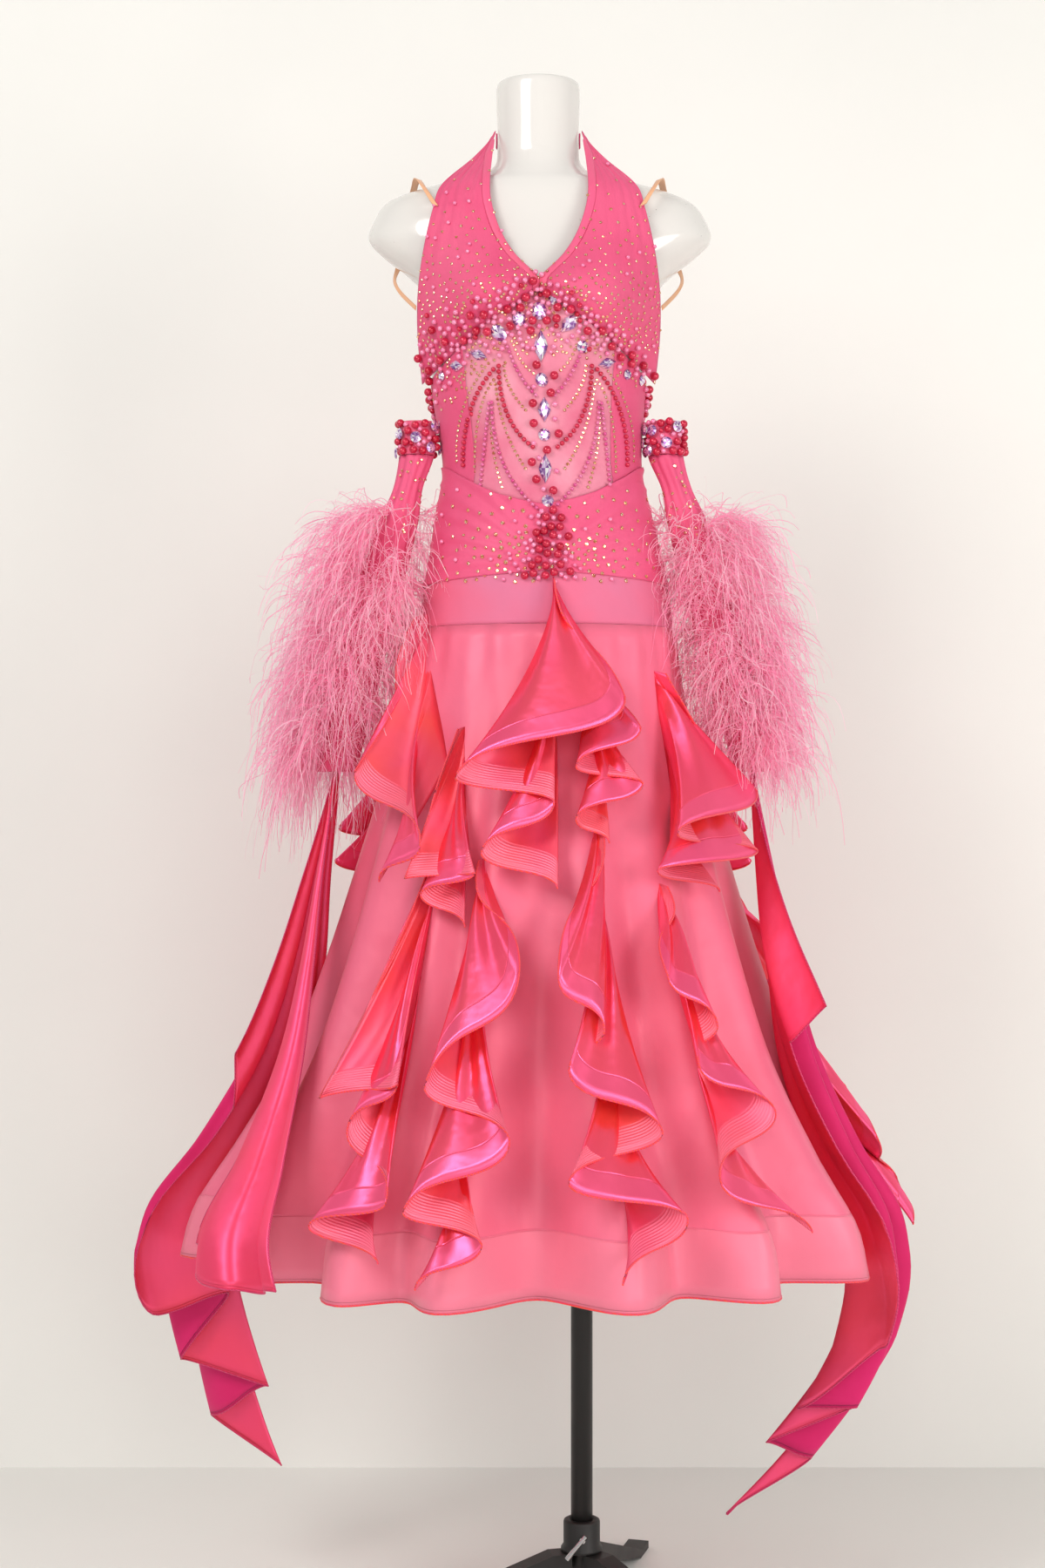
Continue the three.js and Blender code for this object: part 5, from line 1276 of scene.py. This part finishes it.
class GOWN_OT_beadwork(bpy.types.Operator):
    """Pearls, beads and cut stones on the bodice, hip wrap, sleeves and armlets"""
    bl_idname = "gown.beadwork"
    bl_label = "Beadwork"

    def execute(self, context):
        rng = np.random.default_rng(7)
        tree = bead_base()
        s = sizes()
        big, small, bead, stone = (x / MM / 2 for x in (s.large_pearl, s.small_pearl, s.bead, s.stone))
        placed = {key: [] for key in ("red", "pink", "magenta", "stone", "jewel_round", "jewel_navette")}
        used = []

        def lay(kind, x, y, radius, spin=0.0, size=None):
            found = sighted(tree, x, y)
            if found is None or found[0][1] > 40:
                return
            at, out = found
            lift = radius * 0.75 if kind in ("red", "pink", "magenta") else 0.5
            placed[kind].append((at + out * lift, out, size if size is not None else radius, spin))
            used.append((x, y, radius))

        for kind, x, y, tall, wide, tilt in JEWELS:
            lay("jewel_round" if kind == "round" else "jewel_navette", x, y, max(tall, wide) * 0.62, tilt,
                (wide * 0.95, tall, 7.0))
        for kind, x, y in COLUMN:
            lay(kind, x, y, big if kind == "red" else small)
        for kind, a, b, c in SWAGS:
            for mirror in (False, True):
                line = np.array([a, b, c], dtype=float)
                if mirror:
                    line[:, 0] = 2 * MIRROR_AT - line[:, 0]
                t = steps(60)[:, None]
                mid = 2 * line[1] - (line[0] + line[2]) / 2
                curve = (1 - t) ** 2 * line[0] + 2 * t * (1 - t) * mid + t**2 * line[2]
                run = np.concatenate([[0], np.cumsum(np.linalg.norm(np.diff(curve, axis=0), axis=1))])
                radius = {"stone": stone, "red": bead * 1.12, "magenta": bead}[kind]
                for at in np.arange(0, run[-1], radius * 2.25 + (1.6 if kind == "stone" else 0.5)):
                    lay(kind, np.interp(at, run, curve[:, 0]), np.interp(at, run, curve[:, 1]), radius)
        self.bust_band(rng, lay, used, big, small, stone)
        self.scatter(rng, lay, used, small, stone)
        self.hip_cluster(rng, lay, used, big, small, stone)
        self.armlets(rng, placed, big, small)
        self.sleeve_stones(rng, placed, stone)
        self.back_pearls(rng, placed, big, small)
        self.make(placed)
        return {"FINISHED"}

    def free(self, used, x, y, radius, slack=1.0):
        return all((x - a) ** 2 + (y - b) ** 2 > ((radius + r) * slack) ** 2 for a, b, r in used)

    def bust_band(self, rng, lay, used, big, small, stone):
        """Band of pearls under the cups, thinning upwards, with small stones in between and an edging
        below."""
        for share in np.arange(0.02, 1.0, 0.05):
            for side in (-1, 1):
                x, y = in_view(halter_point(side, 0.985, share))
                kind, radius = ("red", big) if rng.random() < 0.45 else ("pink", small)
                if self.free(used, x, y, radius, 0.9):
                    lay(kind, x, y, radius)
        for kind, radius, tries, spread, slack in (
            ("red", big, 260, 11, 1.12), ("pink", small, 1100, 14, 1.02), ("red", small, 200, 15, 1.0),
            ("stone", stone, 3600, 19, 1.05),
        ):
            for _ in range(tries):
                x, y = band_place(rng, spread)
                if self.free(used, x, y, radius, slack):
                    lay(kind, x, y, radius)

    def scatter(self, rng, lay, used, small, stone):
        """Stones that thin out up the halter towards the neck."""
        for _ in range(9000):
            x, y = rng.uniform(478, 760), rng.uniform(172, 405)
            apart = np.interp(y, (175, 240, 300, 350, 400), (22, 12.5, 8, 5.4, 4.5)) * rng.uniform(0.85, 1.25)
            pearl = rng.random() < 0.1
            radius = small * 0.72 if pearl else stone * rng.uniform(0.75, 1.0)
            if self.free(used, x, y, apart - radius):
                lay("pink" if pearl else "stone", x, y, radius)

    def hip_cluster(self, rng, lay, used, big, small, stone):
        """Column of pearls at the low middle of the wrap and the stones that spread from it."""
        for kind, radius, tries, wide in (("red", big * 0.95, 260, 12), ("pink", small, 500, 15)):
            for _ in range(tries):
                y = rng.uniform(588, 664)
                x = 630 + rng.normal(0, wide * (0.35 + 0.65 * (y - 588) / 76))
                if self.free(used, x, y, radius, 0.95):
                    lay(kind, x, y, radius)
        for _ in range(7000):
            x, y = rng.uniform(508, 752), rng.uniform(560, 668)
            away = math.hypot((x - 631) / 62, (y - 640) / 34)
            apart = np.interp(away, (0.3, 0.8, 1.6, 3.0), (4.6, 6.2, 11.0, 18.0)) * rng.uniform(0.85, 1.3)
            pearl = rng.random() < 0.15
            radius = small * 0.8 if pearl else stone * rng.uniform(1.0, 1.35)
            if self.free(used, x, y, apart - radius):
                lay("pink" if pearl else "stone", x, y, radius)

    def armlets(self, rng, placed, big, small):
        """Pearls packed all round both armbands."""
        for side in ("left", "right"):
            kept = []
            for kind, radius, tries in (("jewel_round", 6.5, 10), ("red", big * 0.95, 500),
                                        ("pink", small, 900), ("red", small * 0.9, 600)):
                for _ in range(tries):
                    deg, z = rng.uniform(0, 360), rng.uniform(BAND_Z + 2, BAND_TOP - 1)
                    at = sleeve_point(side, deg, z, 0.0)
                    out = at - sleeve_point(side, deg, z, -5.0)
                    at = at + out / 5 * radius * 0.6
                    if all(np.linalg.norm(at - q) > (radius + r) * 0.93 for q, r in kept):
                        kept.append((at, radius))
                        size = (radius, radius, 6.0) if kind == "jewel_round" else radius
                        placed[kind].append((at, out, size, 0.0))

    def sleeve_stones(self, rng, placed, stone):
        for side in ("left", "right"):
            for _ in range(70):
                deg, z = rng.uniform(0, 360), rng.uniform(1245, BAND_Z - 5)
                at = sleeve_point(side, deg, z, 0.0)
                out = at - sleeve_point(side, deg, z, -5.0)
                placed["stone"].append((at, out, stone * rng.uniform(0.8, 1.1), rng.uniform(0, 3)))

    def back_pearls(self, rng, placed, big, small):
        """Pearls along the low back opening, from side to side."""
        turn = 84.0
        while turn < 276:
            deg = turn if turn <= 180 else turn - 360
            lowest = "red" if rng.random() < 0.4 else "pink"
            row = ((0, big, "red"), (-7, small, "pink"), (-12, small, lowest))
            for fall, radius, kind in row:
                z = float(panel_top(np.array(deg))) - 5 + fall * rng.uniform(0.8, 1.2)
                at = on_body(FIGURE, deg, z, radius * 0.7)
                out = at - on_body(FIGURE, deg, z, -8)
                placed[kind].append((at, out, radius, 0.0))
            turn += math.degrees(big * 2.2 / 105)

    def make(self, placed):
        templates = {"red": ball(9, 14), "pink": ball(7, 11), "magenta": ball(6, 8), "stone": cut_stone(8),
                     "jewel_round": cut_stone(12), "jewel_navette": cut_stone(16, pointed=True)}
        names = {"red": ("red_pearls", "pearl_red"), "pink": ("pink_pearls", "pearl_pink"),
                 "magenta": ("magenta_beads", "pearl_magenta"), "stone": ("small_stones", "stone"),
                 "jewel_round": ("round_jewels", "jewel"), "jewel_navette": ("navette_jewels", "jewel")}
        for kind, rows in placed.items():
            scale = np.array([np.broadcast_to(np.asarray(r[2], dtype=float), (3,)) for r in rows])
            points, faces = set_out(templates[kind], [r[0] for r in rows], [r[1] for r in rows], scale,
                                    [r[3] for r in rows])
            name, look = names[kind]
            smooth = kind in ("red", "pink", "magenta")
            settle(mesh_piece(name, points, faces, [finish(look)], smooth=smooth), "beadwork")


# ---------------------------------------------------------------- feathers

def barbs(side, count, longest, rng):
    """Ostrich barbs in drooping plumes: thin ribbons that leave the cuff, arch over, hang and curl at the
    end."""
    plumes = 300
    sign = -1 if side == "left" else 1
    down = rng.random(plumes) ** 0.9
    z = lerp(CUFF_TOP + 14, CUFF_BOTTOM - 62, down)
    turn = rng.normal(-16, 78, plumes).clip(-170, 170)
    deg = sign * (90 + turn)
    root = sleeve_point(side, deg, z, 2.5)
    out = unit(root - sleeve_point(side, deg, z, -3.0))
    facing = 1 - 0.5 * np.abs(turn) / 170
    reach = longest * rng.uniform(0.4, 1.0, plumes) * facing * lerp(1.0, 0.62, down)
    drop = rng.uniform(0.45, 1.0, plumes) * lerp(100, 112, down) * (1.0 if side == "left" else 0.8)
    lift = rng.uniform(0, 30, plumes) * (1 - down)
    own = rng.integers(0, plumes, count)
    stations = 10
    u = np.linspace(0, 1, stations)[None, :]
    start = rng.random(count)[:, None] ** 1.3 * 0.6  # where on the plume the barb leaves its shaft
    size = rng.uniform(0.35, 1.0, count)[:, None]
    along = start + (1 - start) * u * size
    o = out[own][:, None]
    side_way = np.cross(np.array([0, 0, 1.0]), o)
    r, d, l = reach[own][:, None], drop[own][:, None], lift[own][:, None]
    line = root[own][:, None] + o * (r * (along - 0.4 * along**2))[..., None]
    line[..., 2] += l * along - d * along**2.2
    fray = unit(rng.normal(0, 1, (count, 3)))
    fan = rng.uniform(8, 52, count)[:, None, None]
    line += fray[:, None] * fan * np.sin(np.minimum(u * size * 2.2, np.pi / 2))[..., None]
    line[..., 2] -= rng.uniform(2, 34, count)[:, None] * (u * size) ** 2.2
    curl = rng.uniform(0, 2 * np.pi, count)[:, None] + u * rng.uniform(2.5, 9.0, count)[:, None]
    bend = rng.uniform(2.0, 13.0, count)[:, None] * u**1.1
    line += side_way * (bend * np.cos(curl))[..., None]
    line[..., 2] += bend * np.sin(curl) * 0.7
    return line


class GOWN_OT_feathers(bpy.types.Operator):
    """Ostrich feather cuffs"""
    bl_idname = "gown.feathers"
    bl_label = "Feathers"

    def execute(self, context):
        for side in ("left", "right"):
            rng = np.random.default_rng(21 if side == "left" else 22)
            longest = sizes().feather / MM * (1.12 if side == "left" else 0.92)
            line = barbs(side, sizes().barbs, longest, rng)
            count, stations = line.shape[:2]
            tangent = unit(np.gradient(line, axis=1))
            flat = unit(np.cross(tangent, rng.normal(0, 1, (count, 1, 3))))
            width = np.linspace(0.6, 0.26, stations)[None, :, None] * rng.uniform(0.8, 1.3, (count, 1, 1))
            points = np.stack([line - flat * width, line + flat * width], axis=2).reshape(-1, 3)
            i, j = cells(count, stations - 1)
            a = (i * stations + j) * 2
            faces = np.stack([a, a + 1, a + 3, a + 2], axis=-1)
            piece = mesh_piece(f"ostrich_plumes_{side}", points, faces, [finish("feather")])
            settle(piece, "ostrich_feather", f"feather_cuff_{side}")
        return {"FINISHED"}


# ---------------------------------------------------------------- form and stand

FORM_FOOT, FORM_NECK = 1020, 1762  # lowest level, and where the neck's top begins to round over
# Rings that close the form: share of the neck's width and rise above it, then shares of the foot's width.
NECK_LID = ((0.985, 2.4), (0.955, 3.7), (0.9, 4.0), (0.5, 4.0), (0.02, 4.0))
FOOT_LID = (0.02, 0.6, 0.97)


class GOWN_OT_form(bpy.types.Operator):
    """Limbless dress form"""
    bl_idname = "gown.form"
    bl_label = "Dress form"

    def execute(self, context):
        sides = 128
        levels = np.concatenate([np.linspace(FORM_FOOT, 1560, 70), np.linspace(1564, 1700, 56)[:-1],
                                 np.linspace(1700, FORM_NECK, 20)])
        rings = []
        for z in levels:
            ring = on_body(FORM, 360 * np.arange(sides) / sides, np.full(sides, z))
            ring[:, 1] -= bust(ring[:, 0], z, ring[:, 1], BUST_FORM)
            rings.append(ring)
        low, top = rings[0], rings[-1]
        foot, neck = low.mean(axis=0), top.mean(axis=0)
        for share, rise in NECK_LID:
            ring = neck + (top - neck) * share
            ring[:, 2] = FORM_NECK + rise
            rings.append(ring)
        rings = [foot + (low - foot) * share for share in FOOT_LID] + rings
        last = (len(rings) - 1) * sides
        caps = [tuple(range(sides))[::-1], tuple(range(last, last + sides))]
        piece = mesh_piece("dress_form_shell", np.concatenate(rings), tube_faces(len(rings), sides),
                           [finish("form")], caps=caps)
        settle(piece, "form_shell", "dress_form")
        return {"FINISHED"}


# Turned parts of the stand: name, look, node, sides, then the radius and height of each point of the profile.
TURNED = (
    ("pole_tube", "pole", "pole", 48,
     ((0.5, 62), (11.6, 62), (12.5, 63), (12.5, 1018.6), (11.6, 1019.6), (0.5, 1019.6))),
    ("pole_flange_plate", "moulding", "pole_flange", 48,
     ((13, 1010), (36, 1010), (38, 1011.5), (38, 1018), (36.5, 1019.6), (13, 1019.6))),
    ("stand_hub_sleeve", "moulding", "stand_hub", 64,
     ((13.1, 84), (23, 84), (24, 85), (23.8, 88), (21, 92), (21, 117), (20.3, 119), (18.5, 120),
      (13.1, 120))),
)


class GOWN_OT_stand(bpy.types.Operator):
    """Pole, hub, legs and clamp screw"""
    bl_idname = "gown.stand"
    bl_label = "Stand"

    def execute(self, context):
        for name, look, stands_for, sides, profile in TURNED:
            points, faces = turned(profile, sides)
            settle(mesh_piece(name, points, faces, [finish(look)]), "stand_metal", stands_for)
        for name in ("stand_leg_left", "stand_leg_right", "stand_leg_back"):
            self.dress(name, "moulding", 0.0022)
        self.dress("clamp_screw", "chrome", 0.0006)
        return {"FINISHED"}

    def dress(self, name, look, bevel):
        """Finish and softened edges on a CAD node."""
        part = frame["nodes"][name]
        part = part if isinstance(part, bpy.types.Object) else bpy.data.objects[part]
        part.data.materials.clear()
        part.data.materials.append(finish(look))
        edge = part.modifiers.new("soft_edges", "BEVEL")
        edge.width = bevel
        edge.segments = 3
        edge.limit_method = "ANGLE"
        edge.angle_limit = math.radians(35)


# ---------------------------------------------------------------- stage

# Area lights: name, place in metres, side in metres, watts and colour.
LIGHTS = (
    ("key", (-1.5, -2.3, 2.7), 1.2, 43, "FFFAF6"), ("fill", (2.2, -2.2, 1.3), 1.3, 34, "FFF9F5"),
    ("front", (0.3, -3.1, 1.3), 1.4, 18, "FFFAF6"), ("rim_left", (-2.0, 1.2, 2.0), 0.8, 12, "FFFFFF"),
    ("rim_right", (2.0, 1.1, 1.9), 0.8, 12, "FFFFFF"),
)
LIT_POINT = (0, 0, 0.95)  # metres
LENS, SENSOR = 55, 36
STAGE_REACH, WALL_BACK = 4, 0.62  # half of the floor's side, and how far behind the pole the wall stands


class GOWN_OT_stage(bpy.types.Operator):
    """Camera, lights, floor and wall"""
    bl_idname = "gown.stage"
    bl_label = "Stage"

    def execute(self, context):
        scene = context.scene
        camera = bpy.data.objects.new("camera", bpy.data.cameras.new("camera"))
        camera.data.lens = LENS
        camera.data.sensor_width = SENSOR
        camera.location = tuple(VIEW_EYE * MM + AXIS)
        camera.rotation_euler = (math.radians(90), 0, 0)
        scene.collection.objects.link(camera)
        scene.camera = camera
        ground = tuple(scene.gown_colours.backdrop)
        self.backdrop(ground)
        world = bpy.data.worlds.new("studio")
        world.use_nodes = True
        tree = world.node_tree
        tree.nodes.clear()
        sky = node(tree, "Background", {"Color": linear("F6F5F4"), "Strength": 0.5})
        node(tree, "OutputWorld", {0: sky})
        scene.world = world
        for name, at, size, power, code in LIGHTS:
            light = bpy.data.objects.new(name, bpy.data.lights.new(name, "AREA"))
            light.data.size = size
            light.data.energy = power
            light.data.color = linear(code)[:3]
            light.location = at
            light.rotation_euler = (Vector(LIT_POINT) - Vector(at)).to_track_quat("-Z", "Y").to_euler()
            scene.collection.objects.link(light)
        scene.view_settings.view_transform = "Standard"
        return {"FINISHED"}

    def backdrop(self, ground):
        """Floor, and a wall behind that is clear from its back."""
        floor = bpy.data.meshes.new("floor")
        r, back = STAGE_REACH, WALL_BACK
        floor.from_pydata([(-r, -r, 0), (r, -r, 0), (r, r, 0), (-r, r, 0)], [], [(0, 1, 2, 3)])
        floor.materials.append(stage_finish("floor_paint", ground))
        wall = bpy.data.meshes.new("wall")
        wall.from_pydata([(-r, back, 0), (r, back, 0), (r, back, r), (-r, back, r)], [], [(0, 1, 2, 3)])
        wall.materials.append(stage_finish("wall_paint", ground, through_back=True))
        for mesh in (floor, wall):
            piece = bpy.data.objects.new(mesh.name, mesh)
            bpy.context.scene.collection.objects.link(piece)


PIECES = (GOWN_OT_form, GOWN_OT_stand, GOWN_OT_bodice, GOWN_OT_straps, GOWN_OT_skirt, GOWN_OT_flounces,
          GOWN_OT_sleeves, GOWN_OT_floats, GOWN_OT_beadwork, GOWN_OT_feathers)


class GOWN_PT_panel(bpy.types.Panel):
    """Lists the gown's pieces, sizes and colours"""
    bl_idname = "GOWN_PT_panel"
    bl_label = "Ballroom gown"
    bl_space_type = "VIEW_3D"
    bl_region_type = "UI"
    bl_category = "Gown"

    def draw(self, context):
        for settings in (context.scene.gown_sizes, context.scene.gown_colours):
            for key in settings.bl_rna.properties.keys():
                if key not in ("rna_type", "name"):
                    self.layout.prop(settings, key)
        for operator in (GOWN_OT_stage,) + PIECES:
            self.layout.operator(operator.bl_idname)


CLASSES = (GownColours, GownSizes, GOWN_OT_stage) + PIECES + (GOWN_PT_panel,)


def register():
    for cls in CLASSES:
        bpy.utils.register_class(cls)
    bpy.types.Scene.gown_colours = PointerProperty(type=GownColours)
    bpy.types.Scene.gown_sizes = PointerProperty(type=GownSizes)


def unregister():
    del bpy.types.Scene.gown_sizes
    del bpy.types.Scene.gown_colours
    for cls in reversed(CLASSES):
        bpy.utils.unregister_class(cls)


def main():
    register()
    bpy.ops.gown.stage()
    bpy.ops.gown.form()
    bpy.ops.gown.stand()
    bpy.ops.gown.bodice()
    bpy.ops.gown.straps()
    bpy.ops.gown.skirt()
    bpy.ops.gown.flounces()
    bpy.ops.gown.sleeves()
    bpy.ops.gown.floats()
    bpy.ops.gown.beadwork()
    bpy.ops.gown.feathers()


if __name__ == "__main__":
    main()
